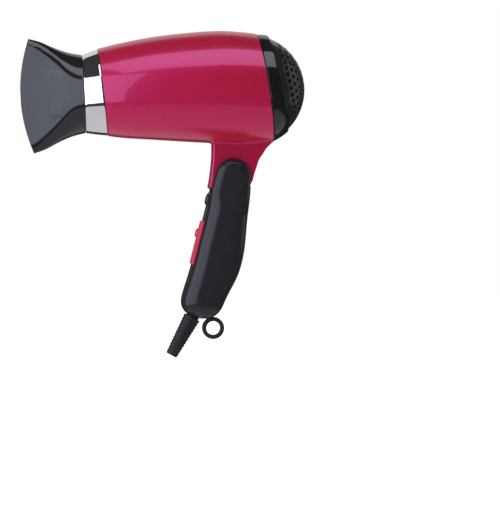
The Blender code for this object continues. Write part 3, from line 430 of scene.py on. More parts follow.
def rim_offsets(edges):
    """For each border vertex: the way off the edge in the surface, and the surface's normal."""
    away = {}
    for edge in edges:
        face = edge.link_faces[0]
        middle = face.calc_center_median()
        first, second = edge.verts
        along = (second.co - first.co).normalized()
        out = first.co - middle
        out = (out - along * out.dot(along)).normalized()
        out = (out - face.normal * out.dot(face.normal)).normalized()
        for vert in edge.verts:
            away.setdefault(vert, Vector((0, 0, 0)))
            away[vert] = away[vert] + out
    return {vert: (way.normalized(), vert.normal.copy()) for vert, way in away.items()}


def round_rims(bm, radius, depth, steps=3):
    """Rolls every open border over a small radius and down into the wall."""
    bm.normal_update()
    edges = [e for e in bm.edges if len(e.link_faces) == 1]
    offsets = rim_offsets(edges)
    rows = []
    for k in range(1, steps + 2):
        if k <= steps:
            turn = math.pi / 2 * k / steps
            reach, drop = radius * math.sin(turn), radius * (1 - math.cos(turn))
        else:
            reach, drop = radius, depth
        row = {}
        for vert, (way, normal) in offsets.items():
            row[vert] = bm.verts.new(vert.co + way * reach - normal * drop)
        rows.append(row)
    for edge in edges:
        face = edge.link_faces[0]
        first, second = edge.verts
        loop = next(lp for lp in face.loops if lp.edge == edge)
        if loop.vert == first:
            first, second = second, first
        above = (first, second)
        for row in rows:
            below = (row[first], row[second])
            bm.faces.new((above[0], above[1], below[1], below[0]))
            above = below


def loft_mesh(name, rings, closed=False):
    """A skin over rings of equal length: closed on itself, or with a cap at each end."""
    count, sides = len(rings), len(rings[0])
    faces = []
    for r in range(count if closed else count - 1):
        n = (r + 1) % count
        for k in range(sides):
            m = (k + 1) % sides
            faces.append((r * sides + k, r * sides + m, n * sides + m, n * sides + k))
    if not closed:
        faces.append(tuple(reversed(range(sides))))
        faces.append(tuple((count - 1) * sides + k for k in range(sides)))
    return outward(mesh_from(name, np.concatenate(rings), faces))


def outward(mesh):
    bm = bmesh.new()
    bm.from_mesh(mesh)
    bmesh.ops.recalc_face_normals(bm, faces=bm.faces)
    bm.to_mesh(mesh)
    bm.free()
    return mesh


def power(value, exponent):
    return np.sign(value) * np.abs(value) ** exponent


def ring(top, bottom, half_width, squareness=2.0, sides=96):
    """A closed ring through top and bottom (points in the plane y = 0), half_width wide along Y."""
    angle = 2 * math.pi * (np.arange(sides) + 0.5) / sides
    centre, up = (top + bottom) / 2, (top - bottom) / 2
    along = power(np.cos(angle), 2 / squareness)
    across = power(np.sin(angle), 2 / squareness)
    return centre + along[:, None] * up + across[:, None] * half_width * SIDEWAYS


def slanted(seam, half_width=None):
    """Top and bottom points and half width of a seam given as ((x, z), (x, z))."""
    top, bottom = (np.array([x, 0.0, z]) for x, z in seam)
    return top, bottom, np.linalg.norm(top - bottom) / 2 if half_width is None else half_width


def inset(spec, depth):
    top, bottom, half_width = spec
    inward = (bottom - top) / np.linalg.norm(bottom - top) * depth
    return top + inward, bottom - inward, half_width - depth


def ring_normal(top, bottom):
    """The unit normal, towards the intake, of the plane through top and bottom along Y."""
    up = (top - bottom) / np.linalg.norm(top - bottom)
    return np.array([up[2], 0.0, -up[0]])


def shifted(spec, distance):
    top, bottom, half_width = spec
    way = ring_normal(top, bottom) * distance
    return top + way, bottom + way, half_width


def broken_corner(spec, edge, way):
    """Three rings that soften the corner at spec; the wall runs from it way (1 or -1) along its normal."""
    start = edge * 0.3
    return [inset(spec, edge), inset(shifted(spec, way * start), start), shifted(spec, way * edge)]


def arched(first, middle, last, t):
    """A ring on the smooth run from first through middle to last."""
    return tuple((1 - t) * (1 - 2 * t) * a + 4 * t * (1 - t) * b + t * (2 * t - 1) * c
                 for a, b, c in zip(first, middle, last))


def revolve(profile, origin, axis, sides):
    """Rings of a turned profile of (radius, distance), round an axis in the plane y = 0."""
    angle = 2 * math.pi * np.arange(sides) / sides
    around = np.cos(angle)[:, None] * SIDEWAYS + np.sin(angle)[:, None] * np.cross(axis, SIDEWAYS)
    return [origin + axis * distance + around * radius for radius, distance in profile]


# ---------------------------------------------------------------- materials

def new_material(name, colour, roughness, metallic=0.0, **sockets):
    """A Principled material with its constants on the shader's own sockets."""
    mat = bpy.data.materials.new(name)
    mat.use_nodes = True
    shader_input(mat, "Base Color").default_value = (*colour, 1.0)
    shader_input(mat, "Roughness").default_value = roughness
    shader_input(mat, "Metallic").default_value = metallic
    for socket, value in sockets.items():
        shader_input(mat, socket.replace("_", " ")).default_value = value
    return mat


def shader_input(mat, socket):
    return mat.node_tree.nodes["Principled BSDF"].inputs[socket]


def add_node(mat, kind):
    return mat.node_tree.nodes.new(kind)


def link(mat, source, target):
    mat.node_tree.links.new(source, target)


def noise(mat, scale, detail=3.0, roughness=0.5):
    coordinates = add_node(mat, "ShaderNodeTexCoord")
    texture = add_node(mat, "ShaderNodeTexNoise")
    texture.inputs["Scale"].default_value = scale
    texture.inputs["Detail"].default_value = detail
    texture.inputs["Roughness"].default_value = roughness
    link(mat, coordinates.outputs["Object"], texture.inputs["Vector"])
    return texture.outputs["Fac"]


def set_range(node, before, after):
    """Makes a Map Range node turn the range before into the range after."""
    for name, value in zip(("From Min", "From Max", "To Min", "To Max"), (*before, *after)):
        node.inputs[name].default_value = value


def vary_colour(mat, value, first, second):
    ramp = add_node(mat, "ShaderNodeValToRGB")
    for stop, position, colour in zip(ramp.color_ramp.elements, NOISE_RANGE, (first, second)):
        stop.position = position
        stop.color = (*colour, 1.0)
    link(mat, value, ramp.inputs["Fac"])
    link(mat, ramp.outputs["Color"], shader_input(mat, "Base Color"))


def vary_roughness(mat, value, low, high):
    spread = add_node(mat, "ShaderNodeMapRange")
    set_range(spread, NOISE_RANGE, (low, high))
    link(mat, value, spread.inputs["Value"])
    link(mat, spread.outputs["Result"], shader_input(mat, "Roughness"))


def bump(mat, value, strength):
    node = add_node(mat, "ShaderNodeBump")
    node.inputs["Strength"].default_value = strength
    node.inputs["Distance"].default_value = BUMP_DEPTH
    link(mat, value, node.inputs["Height"])
    link(mat, node.outputs["Normal"], shader_input(mat, "Normal"))


def pearl_pink():
    """Moulded plastic under a pearl lacquer: fine flakes with a violet sheen, and a clear coat over them."""
    mat = new_material("pearl_pink", (0.245, 0.006, 0.020), 0.26, 0.0, Specular_IOR_Level=1.0,
                       Specular_Tint=(1.0, 0.12, 0.70, 1.0), Coat_Weight=0.35, Coat_Roughness=0.03)
    flakes = noise(mat, 2600.0, 2.0, 0.6)
    vary_colour(mat, flakes, (0.230, 0.005, 0.018), (0.260, 0.007, 0.022))
    vary_roughness(mat, flakes, 0.23, 0.29)
    return mat


def gloss_black():
    mat = new_material("gloss_black", (0.006, 0.006, 0.007), 0.09)
    vary_colour(mat, noise(mat, 30.0), (0.004, 0.004, 0.005), (0.008, 0.008, 0.009))
    vary_roughness(mat, noise(mat, 160.0, 4.0), 0.07, 0.11)
    return mat


def satin_gloss_black():
    mat = new_material("grille_black", (0.009, 0.009, 0.010), 0.18)
    vary_colour(mat, noise(mat, 90.0), (0.008, 0.008, 0.009), (0.011, 0.011, 0.012))
    vary_roughness(mat, noise(mat, 700.0, 3.0), 0.16, 0.22)
    return mat


def satin_black():
    mat = new_material("satin_black", (0.011, 0.011, 0.013), 0.23, Specular_IOR_Level=0.28)
    vary_colour(mat, noise(mat, 60.0), (0.010, 0.010, 0.012), (0.012, 0.012, 0.014))
    vary_roughness(mat, noise(mat, 500.0, 3.0), 0.20, 0.26)
    bump(mat, noise(mat, 1500.0, 2.0), 0.04)
    return mat


def chrome():
    mat = new_material("chrome", (0.90, 0.90, 0.91), 0.04, 1.0)
    vary_colour(mat, noise(mat, 25.0), (0.86, 0.86, 0.88), (0.93, 0.93, 0.93))
    vary_roughness(mat, noise(mat, 220.0, 4.0), 0.03, 0.07)
    return mat


def switch_pink():
    mat = new_material("switch_pink", (0.36, 0.02, 0.05), 0.42, Specular_IOR_Level=0.3)
    vary_colour(mat, noise(mat, 500.0), (0.33, 0.017, 0.045), (0.39, 0.023, 0.056))
    vary_roughness(mat, noise(mat, 700.0, 3.0), 0.38, 0.46)
    bump(mat, noise(mat, 2500.0, 2.0), 0.10)
    return mat


def black_rubber():
    mat = new_material("black_rubber", (0.012, 0.012, 0.013), 0.55, Specular_IOR_Level=0.22)
    vary_colour(mat, noise(mat, 120.0), (0.009, 0.009, 0.010), (0.015, 0.015, 0.016))
    vary_roughness(mat, noise(mat, 600.0, 3.0), 0.48, 0.64)
    bump(mat, noise(mat, 1800.0, 3.0), 0.2)
    return mat


def plain(name, first, second, roughness, metallic=0.0, grain=400.0, rise=0.1):
    """A moulded, plated or sheet material with its own grain."""
    mat = new_material(name, first, roughness, metallic)
    texture = noise(mat, grain)
    vary_colour(mat, texture, first, second)
    vary_roughness(mat, texture, roughness * 0.85, roughness * 1.15)
    bump(mat, texture, rise)
    return mat


def make_materials():
    return {
        "pink_plastic": pearl_pink(),
        "gloss_black": gloss_black(),
        "grille_black": satin_gloss_black(),
        "satin_black": satin_black(),
        "button_black": plain("button_black", (0.010, 0.010, 0.012), (0.016, 0.016, 0.018), 0.28),
        "chrome": chrome(),
        "switch_pink": switch_pink(),
        "black_rubber": black_rubber(),
        "fan_plastic": plain("fan_plastic", (0.012, 0.012, 0.012), (0.022, 0.022, 0.022), 0.5),
        "switch_black": plain("switch_black", (0.015, 0.015, 0.015), (0.025, 0.025, 0.025), 0.45),
        "mica": plain("mica", (0.42, 0.36, 0.25), (0.62, 0.56, 0.42), 0.45, 0.0, 260.0, 0.4),
        "heating_wire": plain("heating_wire", (0.32, 0.30, 0.28), (0.55, 0.50, 0.45), 0.35, 1.0, 900.0),
        "zinc_steel": plain("zinc_steel", (0.55, 0.55, 0.56), (0.72, 0.72, 0.74), 0.28, 1.0, 300.0, 0.05),
        "steel_shaft": plain("steel_shaft", (0.62, 0.62, 0.64), (0.75, 0.75, 0.77), 0.18, 1.0, 800.0, 0.05),
        "white_nylon": plain("white_nylon", (0.70, 0.69, 0.65), (0.80, 0.79, 0.75), 0.45),
        "circuit_board": plain("circuit_board", (0.02, 0.13, 0.04), (0.04, 0.20, 0.07), 0.4),
        "wire_sleeve": plain("wire_sleeve", (0.66, 0.63, 0.58), (0.78, 0.75, 0.70), 0.6),
    }


# ---------------------------------------------------------------- pieces

def seam_plane(seam, distance):
    """A point and a normal (towards the intake) of a seam's plane, moved along that normal."""
    top, bottom, _ = slanted(seam)
    normal = ring_normal(top, bottom)
    return (top + bottom) / 2 + normal * distance, normal


def casing_mesh(side, field):
    """One half of the casing, cut at both seams and at the parting plane, with rolled edges."""
    points, quads = surface_net(field, mirrored(CASING_SPACE, side), CASING_CELL, rounds=3)
    bm = bmesh_from(points, quads.tolist())
    set_back, rolled = 0.35, 0.15
    point, normal = seam_plane(FRONT_SEAM, SEAM_GAP + set_back)
    cut_plane(bm, point, -normal)
    point, normal = seam_plane(REAR_SEAM, -SEAM_GAP - set_back)
    cut_plane(bm, point, normal)
    cut_plane(bm, (0.0, side * (PARTING + rolled), 0.0), (0.0, -side, 0.0))
    round_rims(bm, rolled, SHELL_WALL)
    return from_bmesh("casing", bm)


def make_casing(materials):
    for side, name, field in ((-1, "left", left_casing_field), (1, "right", right_casing_field)):
        mesh = casing_mesh(side, field)
        finish_piece("casing_" + name, mesh, materials["pink_plastic"], "barrel", "pink_plastic",
                     "barrel_shell_" + name)


def make_front_ring(materials):
    """Chrome collar with softened edges, on a black core with the spigot and the lip inside the barrel."""
    rear = slanted(FRONT_SEAM, FRONT_SEAM_HALF)
    middle = slanted(RING_SWELL, RING_SWELL_HALF)
    front = slanted(RING_EDGE, RING_EDGE_HALF)
    edge, plating = 0.2, 0.9
    under_plating = [inset(spec, plating) for spec in (rear, middle, front)]
    collar = broken_corner(rear, edge, -1)
    collar += [arched(rear, middle, front, t) for t in np.linspace(0.08, 0.94, 12)]
    collar += broken_corner(front, edge, 1)[::-1] + under_plating[::-1]

    spigot = inset(front, RING_EDGE_HALF - SPIGOT_RADIUS)
    end, bevel = shifted(spigot, -SPIGOT_LENGTH), (0.6, 0.5)
    web, lip_outside, lip_inside, lip_length = (2.2, 2.6), 2.5, 4.0, 5.0
    core = under_plating + [
        spigot, shifted(spigot, -SPIGOT_LENGTH + bevel[0]), inset(end, bevel[1]), inset(end, SPIGOT_WALL),
        inset(shifted(front, web[0]), 3.9), inset(shifted(front, web[1]), 2.2), inset(rear, lip_inside),
        shifted(inset(rear, lip_inside), lip_length), shifted(inset(rear, lip_outside), lip_length),
        inset(rear, lip_outside)]
    mesh = loft_mesh("collar", [ring(*spec) for spec in collar], closed=True)
    finish_piece("chrome_ring", mesh, materials["chrome"], "barrel", "chrome", "front_ring", sharp=40)
    mesh = loft_mesh("core", [ring(*spec) for spec in core], closed=True)
    finish_piece("ring_core", mesh, materials["switch_black"], "barrel", "switch_black", sharp=40)


def dome_axes():
    """The dome's axis, out of the intake, and the way up across it."""
    normal = np.array([math.cos(DOME_TILT), 0.0, math.sin(DOME_TILT)])
    up = np.array([-math.sin(DOME_TILT), 0.0, math.cos(DOME_TILT)])
    return normal, up


def dome_spec(distance, radius):
    """A circle round the dome's axis, as the ends of its upright diameter and its half width."""
    normal, up = dome_axes()
    centre = DOME_CENTRE + normal * distance
    return centre + up * radius, centre - up * radius, radius


def make_rear_band(materials):
    """Gloss band behind the casing, with a seat for the dome and a lip inside the barrel."""
    seam, swell = slanted(REAR_SEAM, REAR_SEAM_HALF), slanted(BAND_SWELL, BAND_SWELL_HALF)
    rear = slanted(BAND_EDGE)
    reach, ledge, lip = DOME_RADIUS + DOME_CLEARANCE, DOME_BASE - DOME_CLEARANCE, -5.0
    under_rim = DOME_SEAT - 0.3
    specs = broken_corner(seam, 0.5, 1)
    specs += [arched(seam, swell, rear, t) for t in np.linspace(0.1, 0.92, 10)]
    specs += [inset(rear, 0.05), inset(shifted(rear, 0.25), 0.35),
              dome_spec(DOME_SEAT + 0.15, math.sqrt(reach ** 2 - DOME_SEAT ** 2) + 0.15),
              dome_spec(under_rim, math.sqrt(reach ** 2 - under_rim ** 2)),
              dome_spec(ledge, math.sqrt(reach ** 2 - DOME_BASE ** 2)),
              dome_spec(ledge, LEDGE_RADIUS), dome_spec(DOME_BASE - 2.2, LEDGE_RADIUS), inset(seam, 4.4),
              shifted(inset(seam, 4.6), lip), shifted(inset(seam, 3.4), lip), inset(seam, 3.0)]
    mesh = loft_mesh("rear_band", [ring(*spec) for spec in specs], closed=True)
    finish_piece("rear_band", mesh, materials["gloss_black"], "barrel", "gloss_black", "rear_ring", sharp=40)


def nozzle_station(distance):
    return [value_at(NOZZLE_STATIONS, distance, column) for column in (1, 2, 3, 4)]


def nozzle_ring(distance, depth=0.0, back=0.0):
    """One ring of the nozzle, set depth into its wall, its bowed rim moved back by back."""
    height, thickness, squareness, bow = nozzle_station(distance)
    centre = NOZZLE_ORIGIN + NOZZLE_AXIS * (distance - back)
    height, thickness = height - depth, thickness - depth
    top, bottom = centre + NOZZLE_UP * height, centre - NOZZLE_UP * height
    points = ring(top, bottom, thickness, squareness, NOZZLE_SIDES)
    share = ((points - centre) @ NOZZLE_UP / height) ** 2
    return points - NOZZLE_AXIS * (bow * share)[:, None]


def collar_ring(distance):
    """One ring of the nozzle's round bore, which turns on the spigot."""
    centre, radius = NOZZLE_ORIGIN + NOZZLE_AXIS * distance, SPIGOT_RADIUS + SPIGOT_CLEARANCE
    return ring(centre + NOZZLE_UP * radius, centre - NOZZLE_UP * radius, radius, sides=NOZZLE_SIDES)


def make_nozzle(materials):
    """Fishtail nozzle: smooth walls, rolled lip at the mouth, and a collar over the ring's spigot."""
    start, edge = NOZZLE_START, 0.2
    before_lip, collar_step = NOZZLE_END - 1.4, NOZZLE_COLLAR_END + 0.6
    outer = [nozzle_ring(start, edge), nozzle_ring(start, edge * 0.3, -edge * 0.3), nozzle_ring(start + edge)]
    outer += [nozzle_ring(d) for d in np.linspace(start + 1.0, before_lip, 44)]
    lip = [nozzle_ring(NOZZLE_END, depth, back) for depth, back in NOZZLE_LIP]
    inner = [nozzle_ring(d, NOZZLE_WALL) for d in np.linspace(before_lip, collar_step, 34)]
    collar = [collar_ring(NOZZLE_COLLAR_END), collar_ring(start)]
    mesh = loft_mesh("nozzle", outer + lip + inner + collar, closed=True)
    black = materials["gloss_black"]
    finish_piece("fishtail_nozzle", mesh, black, "nozzle", "gloss_black", "nozzle", sharp=60)


def hole_directions():
    """Unit vectors from the dome's centre to its holes: one in the middle, then rings of six more each."""
    normal, up = dome_axes()
    ways = [normal]
    for row in range(1, HOLE_ROWS + 1):
        for k in range(6 * row):
            turn, lean = 2 * math.pi * k / (6 * row), row * HOLE_ROW_STEP
            off = up * math.cos(turn) + SIDEWAYS * math.sin(turn)
            ways.append(normal * math.cos(lean) + off * math.sin(lean))
    return np.array(ways)


def grille_field(points):
    """The dome's shell, cut at its base and pierced by round holes with softened rims."""
    normal = dome_axes()[0]
    offset = points - DOME_CENTRE
    distance = np.linalg.norm(offset, axis=1)
    shell = np.abs(distance - DOME_RADIUS + DOME_WALL / 2) - DOME_WALL / 2
    shell = smooth_max(shell, DOME_BASE - offset @ normal, blend=0.5)
    unit = offset / np.maximum(distance, 1e-6)[:, None]
    nearest = np.max(unit @ hole_directions().T, axis=1)
    hole = HOLE_RADIUS - DOME_RADIUS * np.sqrt(np.maximum(2 - 2 * nearest, 0.0))
    return smooth_max(shell, hole, blend=0.7)


def make_intake_grille(materials):
    mesh = mesh_from("intake_grille", *surface_net(grille_field, GRILLE_SPACE, GRILLE_CELL))
    black = materials["grille_black"]
    finish_piece("domed_grille", mesh, black, "barrel", "grille_black", "intake_grille", sharp=70)


def handle_outer(a, b, y, depth=0.0):
    """Below zero inside the handle's outer form, set in by depth; its section is squarer at the cheeks."""
    reach = np.where(b > 0, value_at(HANDLE_FRONT, a), value_at(HANDLE_REAR, a)) - depth
    half = value_at(HANDLE_HALF, a) - depth
    share = np.clip((a - SQUARE_FROM) / SQUARE_OVER, 0.0, 1.0)
    squareness = SQUARE_CHEEKS - (SQUARE_CHEEKS - SQUARE_GRIP) * share * share * (3 - 2 * share)
    low = np.minimum(a, 0.0) / (HANDLE_TOP - depth)
    flat = np.hypot(b / reach, low)
    section = (flat ** squareness + np.abs(y / half) ** squareness) ** (1 / squareness)
    u = np.maximum(0.0, (a + depth - (HANDLE_END - HANDLE_END_ROUND)) / HANDLE_END_ROUND)
    typical_reach = 14.0
    return (np.sqrt(section ** 2 + u ** 3) - 1.0) * typical_reach


def slot_field(a, b, y):
    """Below zero in the space between the cheeks that the neck swings through."""
    from_pivot = np.hypot(a, b)
    front = np.maximum(a - SLOT_FRONT, -b)
    swing = np.maximum(from_pivot - SLOT_RADIUS, SLOT_REAR - b)
    round_disc, above = from_pivot - NECK_DISC - 0.5, a + 0.3
    return np.maximum(np.min([front, swing, round_disc, above], axis=0), np.abs(y) - CHEEK_GAP)


def bar_field(a, b, centre, radius):
    """Below zero inside an endless bar along Y."""
    return np.hypot(a - centre[0], b - centre[1]) - radius


def screws_field(a, b, radius):
    """Below zero inside a bar of this radius round each screw of the handle."""
    return np.min([bar_field(a, b, centre, radius) for centre in HANDLE_SCREWS], axis=0)


def block_field(offset, half):
    """Below zero inside a block, from the offsets to its centre and its half sizes."""
    return np.max([np.abs(way) - reach for way, reach in zip(offset, half)], axis=0)


def button_hole(a, b, y):
    long, wide = BUTTON_LENGTH / 2 + 0.3, BUTTON_WIDTH / 2 + 0.3
    oval = (np.hypot((a - BUTTON_CENTRE) / long, y / wide) - 1) * wide
    return np.maximum(oval, 8.0 - b)


def slider_slot(a, b, y):
    """The slot in the handle's front that the slider's stem runs in."""
    centre, half_length, half_width = SLIDER_SLOT
    return np.maximum(block_field((a - centre, y), (half_length, half_width)), 9.0 - b)


def relief_hole(a, b, y):
    """The round hole along the cord outlet's axis, at the handle's lower end."""
    along = math.cos(RELIEF_TILT), math.sin(RELIEF_TILT)
    off = (a - RELIEF_START[0]) * -along[1] + (b - RELIEF_START[1]) * along[0]
    return np.maximum(np.hypot(off, y) - 5.0, 92.0 - a)


def handle_field(side):
    """The field of one half shell; side is -1 for the left half and 1 for the right half."""
    def field(points):
        a, b, y = to_handle(points)
        body = smooth_max(handle_outer(a, b, y), -slot_field(a, b, y), blend=0.9)
        body = smooth_max(body, -button_hole(a, b, y), blend=0.5)
        body = np.maximum(body, -slider_slot(a, b, y))
        body = smooth_max(body, -relief_hole(a, b, y), blend=0.5)
        loop_slot = block_field((b + 9.6, y, a - 101.0), (2.3, 1.8, 5.0))
        body = smooth_max(body, -loop_slot, blend=0.4)
        if side > 0:
            pockets = np.maximum(screws_field(a, b, SCREW_POCKET), SCREW_SEAT - y)
            body = smooth_max(body, -pockets, blend=0.5)
        cavity = np.maximum(handle_outer(a, b, y, HANDLE_WALL), HANDLE_CAVITY_TOP - a)
        body = np.maximum(body, -np.maximum(cavity, -screws_field(a, b, SCREW_BOSS)))
        return smooth_max(body, PARTING - side * y, blend=0.35)
    return field


def make_handle(materials):
    for side, name in ((-1, "left"), (1, "right")):
        net = surface_net(handle_field(side), mirrored(HANDLE_SPACE, side), HANDLE_CELL)
        mesh = mesh_from("handle", *net)
        finish_piece("handle_half_" + name, mesh, materials["satin_black"], "handle", "satin_black",
                     "handle_shell_" + name, sharp=60)


# ---------------------------------------------------------------- controls and outlet

def slider_section(a, rise, spread):
    """Outline across the slider at a: its outer face, rise above the handle, then its inner face."""
    front, half = HANDLE_FRONT[4][1], 15.65
    outline = []
    for reach, start in ((rise, -spread), (SLIDER_INNER, spread)):
        for angle in np.linspace(start, -start, 24):
            outline.append((a, power(math.cos(angle), 2 / SQUARE_GRIP) * (front + reach),
                            power(math.sin(angle), 2 / SQUARE_GRIP) * (half + reach)))
    return np.array(outline)


def oval_mesh(name, centre, length, width, profile, sides):
    """An oval knob on the handle's front; its profile is (height above the handle's axis, scale)."""
    angle = 2 * math.pi * np.arange(sides) / sides
    rings = []
    for level, scale in profile:
        along, across = length / 2 * scale * np.cos(angle), width / 2 * scale * np.sin(angle)
        rings.append(from_handle(np.stack([centre + along, np.full(sides, level), across], 1)))
    return loft_mesh(name, rings)


def make_slider(materials):
    """A curved plate that lies on the handle's front, its ends rounded over."""
    low, high = SLIDER_TOP, SLIDER_TOP + SLIDER_LENGTH
    rounding = ((0.0, 0.75, 0.03), (0.12, 0.35, 0.012), (0.5, 0.06, 0.002), (0.9, 0.0, 0.0))
    top_end = [(low + along, SLIDER_OUTER - drop, SLIDER_SPREAD - narrow) for along, drop, narrow in rounding]
    sections = top_end + [(a, SLIDER_OUTER, SLIDER_SPREAD) for a in np.linspace(low + 3, high - 3, 12)]
    sections += [(low + high - a, rise, spread) for a, rise, spread in reversed(top_end)]
    mesh = loft_mesh("slider", [from_handle(slider_section(*section)) for section in sections])
    pink = materials["switch_pink"]
    finish_piece("slide_switch", mesh, pink, "switch", "switch_pink", "switch_slider", sharp=35)


def make_slider_nub(materials):
    """The thumb nub: a low oval ridge across the slider."""
    profile = ((13.0, 1.0), (14.3, 0.97), (14.9, 0.86), (15.2, 0.68), (15.3, 0.45), (15.3, 0.1))
    mesh = oval_mesh("nub", SLIDER_TOP + NUB_CENTRE, NUB_LENGTH, NUB_WIDTH, profile, 48)
    finish_piece("thumb_nub", mesh, materials["switch_pink"], "switch", "switch_pink", sharp=50)


def make_button(materials):
    """An oval push button with a crowned top."""
    top, crown = float(value_at(HANDLE_FRONT, BUTTON_CENTRE)) + BUTTON_PROUD, 1.5
    profile = [(BUTTON_FOOT, 1.0)]
    profile += [(top - crown + crown * math.sin(t), math.cos(t) ** 0.8) for t in np.linspace(0.0, 1.45, 12)]
    profile += [(top, 0.02)]
    mesh = oval_mesh("button", BUTTON_CENTRE, BUTTON_LENGTH, BUTTON_WIDTH, profile, 64)
    black = materials["button_black"]
    finish_piece("push_button", mesh, black, "button", "button_black", "button_cap", sharp=50)


def make_strain_relief(materials):
    """The ribbed boot: a collar at the handle, tapering ribs, and the open end for the cord."""
    pitch = (RELIEF_LENGTH - 1.6) / RELIEF_RIBS
    profile = [(CORD_BORE, -6.2), (5.6, -6.2), (5.6, -4.2), (4.6, -4.2), (4.6, 0.6), (5.9, 0.75), (6.05, 1.0)]
    for k in range(RELIEF_RIBS):
        s = 1.3 + pitch * k
        radius = RELIEF_FIRST_RIB - (RELIEF_FIRST_RIB - RELIEF_LAST_RIB) * k / (RELIEF_RIBS - 1)
        groove = radius - RELIEF_GROOVE
        profile += [(radius, s), (radius, s + pitch * 0.46), (radius - 0.10, s + pitch * 0.56),
                    (groove, s + pitch * 0.64), (groove, s + pitch * 0.84), (radius - 0.12, s + pitch * 0.92)]
    profile += [(4.35, RELIEF_LENGTH - 0.5), (4.1, RELIEF_LENGTH), (CORD_BORE + 0.2, RELIEF_LENGTH),
                (CORD_BORE, RELIEF_LENGTH - 0.3)]
    axis = HANDLE_DOWN * math.cos(RELIEF_TILT) + HANDLE_FORWARD * math.sin(RELIEF_TILT)
    origin = from_handle(np.array([*RELIEF_START, 0.0]))
    mesh = loft_mesh("relief", revolve(profile, origin, axis, 72), closed=True)
    rubber = materials["black_rubber"]
    finish_piece("ribbed_boot", mesh, rubber, "handle", "black_rubber", "strain_relief", sharp=45)


def make_hang_loop(materials):
    """Flat ring with rounded edges on a stem that hooks into the handle's end."""
    def field(points):
        a, b, y = to_handle(points)
        off = np.hypot(a - LOOP_CENTRE[0], b - LOOP_CENTRE[1])
        middle, half = (LOOP_OUTER + LOOP_INNER) / 2, (LOOP_OUTER - LOOP_INNER) / 2
        washer = smooth_max(np.abs(off - middle) - half, np.abs(y) - LOOP_HALF, blend=0.7)
        stem = smooth_max(block_field((b + 9.55, a - 98.8), (1.95, 3.4)), np.abs(y) - 1.5, blend=0.5)
        head = block_field((b + 9.5, a - 95.4, y), (1.7, 0.8, 3.4))
        return np.minimum(smooth_min(washer, stem, blend=1.0), head)
    mesh = mesh_from("loop", *surface_net(field, LOOP_SPACE, LOOP_CELL))
    rubber = materials["black_rubber"]
    finish_piece("hanging_loop", mesh, rubber, "handle", "black_rubber", "hang_loop", sharp=60)


# ---------------------------------------------------------------- studio

def add_area(name, location, target, size, radiance, colour):
    """A soft box of the given radiance, facing the target and hidden from the eye."""
    light = bpy.data.lights.new(name, "AREA")
    light.shape = "RECTANGLE"
    light.size, light.size_y = size
    light.energy = radiance * math.pi * size[0] * size[1]
    light.color = colour
    lamp = bpy.data.objects.new(name, light)
    bpy.context.scene.collection.objects.link(lamp)
    lamp.location = location
    lamp.rotation_euler = (Vector(target) - Vector(location)).to_track_quat("-Z", "Y").to_euler()
    lamp.visible_camera = False


def make_world():
    """White to the eye; to reflections, a dark room over a pale floor, so that black plastic stays black."""
    world = bpy.data.worlds.new("studio")
    world.use_nodes = True
    bpy.context.scene.world = world
    nodes, links = world.node_tree.nodes, world.node_tree.links
    nodes.clear()
    output, mix = nodes.new("ShaderNodeOutputWorld"), nodes.new("ShaderNodeMixShader")
    path, way = nodes.new("ShaderNodeLightPath"), nodes.new("ShaderNodeTexCoord")
    split, height = nodes.new("ShaderNodeSeparateXYZ"), nodes.new("ShaderNodeMapRange")
    room, white = nodes.new("ShaderNodeBackground"), nodes.new("ShaderNodeBackground")
    set_range(height, FLOOR_EDGE, (FLOOR_GLOW, ROOM_GLOW))
    room.inputs["Color"].default_value = (0.95, 0.93, 1.0, 1.0)
    white.inputs["Color"].default_value = (1.0, 1.0, 1.0, 1.0)
    links.new(way.outputs["Generated"], split.inputs[0])
    links.new(split.outputs["Z"], height.inputs["Value"])
    links.new(height.outputs["Result"], room.inputs["Strength"])
    links.new(white_strength(nodes, links, path), white.inputs["Strength"])
    links.new(path.outputs["Is Glossy Ray"], mix.inputs[0])
    links.new(white.outputs[0], mix.inputs[1])
    links.new(room.outputs[0], mix.inputs[2])
    links.new(mix.outputs[0], output.inputs["Surface"])


def white_strength(nodes, links, path):
    """Full strength as a backdrop, less as the light that fills shadows."""
    strength = nodes.new("ShaderNodeMapRange")
    set_range(strength, (0.0, 1.0), (1.0, FILL_GLOW))
    links.new(path.outputs["Is Diffuse Ray"], strength.inputs["Value"])
    return strength.outputs["Result"]


def make_floor(low, middle):
    mesh = bpy.data.meshes.new("floor")
    bm = bmesh.new()
    bmesh.ops.create_circle(bm, cap_ends=True, radius=1.6, segments=64)
    bm.to_mesh(mesh)
    bm.free()
    floor = bpy.data.objects.new("floor", mesh)
    floor.location = (middle.x, middle.y, low.z - FLOOR_DROP)
    floor.visible_glossy = False
    bpy.context.scene.collection.objects.link(floor)
    paper = new_material("pale_floor", (0.93, 0.93, 0.94), 0.9)
    shader_input(paper, "Emission Color").default_value = (1.0, 1.0, 1.0, 1.0)
    shader_input(paper, "Emission Strength").default_value = 0.5
    vary_roughness(paper, noise(paper, 8.0), 0.85, 0.95)
    mesh.materials.append(paper)


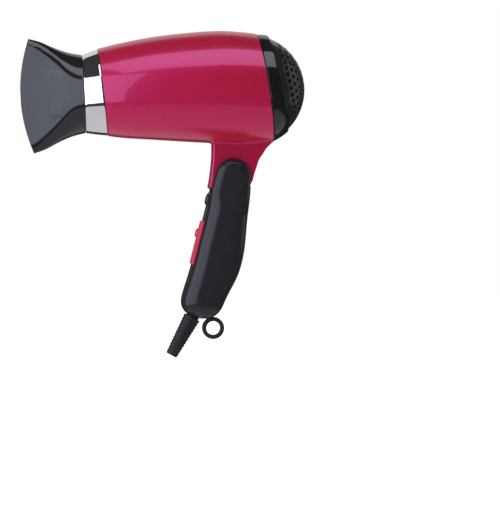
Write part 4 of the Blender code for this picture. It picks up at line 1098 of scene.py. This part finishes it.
def make_studio(low, high):
    """The room, the floor and the soft boxes: two side by side on the nozzle side, three round the rest."""
    make_world()
    bpy.context.scene.view_settings.view_transform = "Standard"
    make_floor(low, (low + high) / 2)
    barrel = Vector(place((-30.0, 0.0, 0.0)))
    for name, offset, size, radiance, colour in SOFT_BOXES:
        add_area(name, barrel + Vector(offset), barrel, size, radiance, colour)


def make_camera():
    """Seen from the left side, a little from in front and above."""
    data = bpy.data.cameras.new("camera")
    camera = bpy.data.objects.new("camera", data)
    bpy.context.scene.collection.objects.link(camera)
    level = math.cos(CAMERA_ELEVATION)
    back = Vector((math.sin(CAMERA_AZIMUTH) * level, -math.cos(CAMERA_AZIMUTH) * level,
                   math.sin(CAMERA_ELEVATION)))
    camera.location = Vector(place(CAMERA_AIM)) + back * CAMERA_DISTANCE
    camera.rotation_euler = (-back).to_track_quat("-Z", "Y").to_euler()
    data.sensor_fit = "HORIZONTAL"
    data.sensor_width = CAMERA_SENSOR
    data.lens = CAMERA_SENSOR * CAMERA_DISTANCE / CAMERA_WIDTH
    bpy.context.scene.camera = camera


def dress_frame(frame, materials):
    """Gives every CAD node that still shows the finish of its slot."""
    slots = {part["node"]: part["material_slot"] for part in frame["record"]["subparts"]}
    for name, node in frame["nodes"].items():
        node.data.materials.clear()
        node.data.materials.append(materials[slots[name]])


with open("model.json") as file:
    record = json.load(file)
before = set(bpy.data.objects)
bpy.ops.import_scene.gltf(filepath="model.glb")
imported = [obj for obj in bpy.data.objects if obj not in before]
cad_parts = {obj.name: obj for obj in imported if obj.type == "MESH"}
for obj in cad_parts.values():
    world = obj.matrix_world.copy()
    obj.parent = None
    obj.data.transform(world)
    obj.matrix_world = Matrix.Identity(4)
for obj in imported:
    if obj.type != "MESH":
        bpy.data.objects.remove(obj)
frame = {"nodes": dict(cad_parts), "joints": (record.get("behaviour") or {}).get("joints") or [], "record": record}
cad_box = [list(corner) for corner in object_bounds()]
ROW_PIVOT = pivot_in_frame(frame)
materials = make_materials()
dress_frame(frame, materials)
make_camera()
make_studio(*(Vector(corner) for corner in cad_box))
make_casing(materials)
make_front_ring(materials)
make_rear_band(materials)
make_intake_grille(materials)
make_nozzle(materials)
make_handle(materials)
make_slider(materials)
make_slider_nub(materials)
make_button(materials)
make_strain_relief(materials)
make_hang_loop(materials)
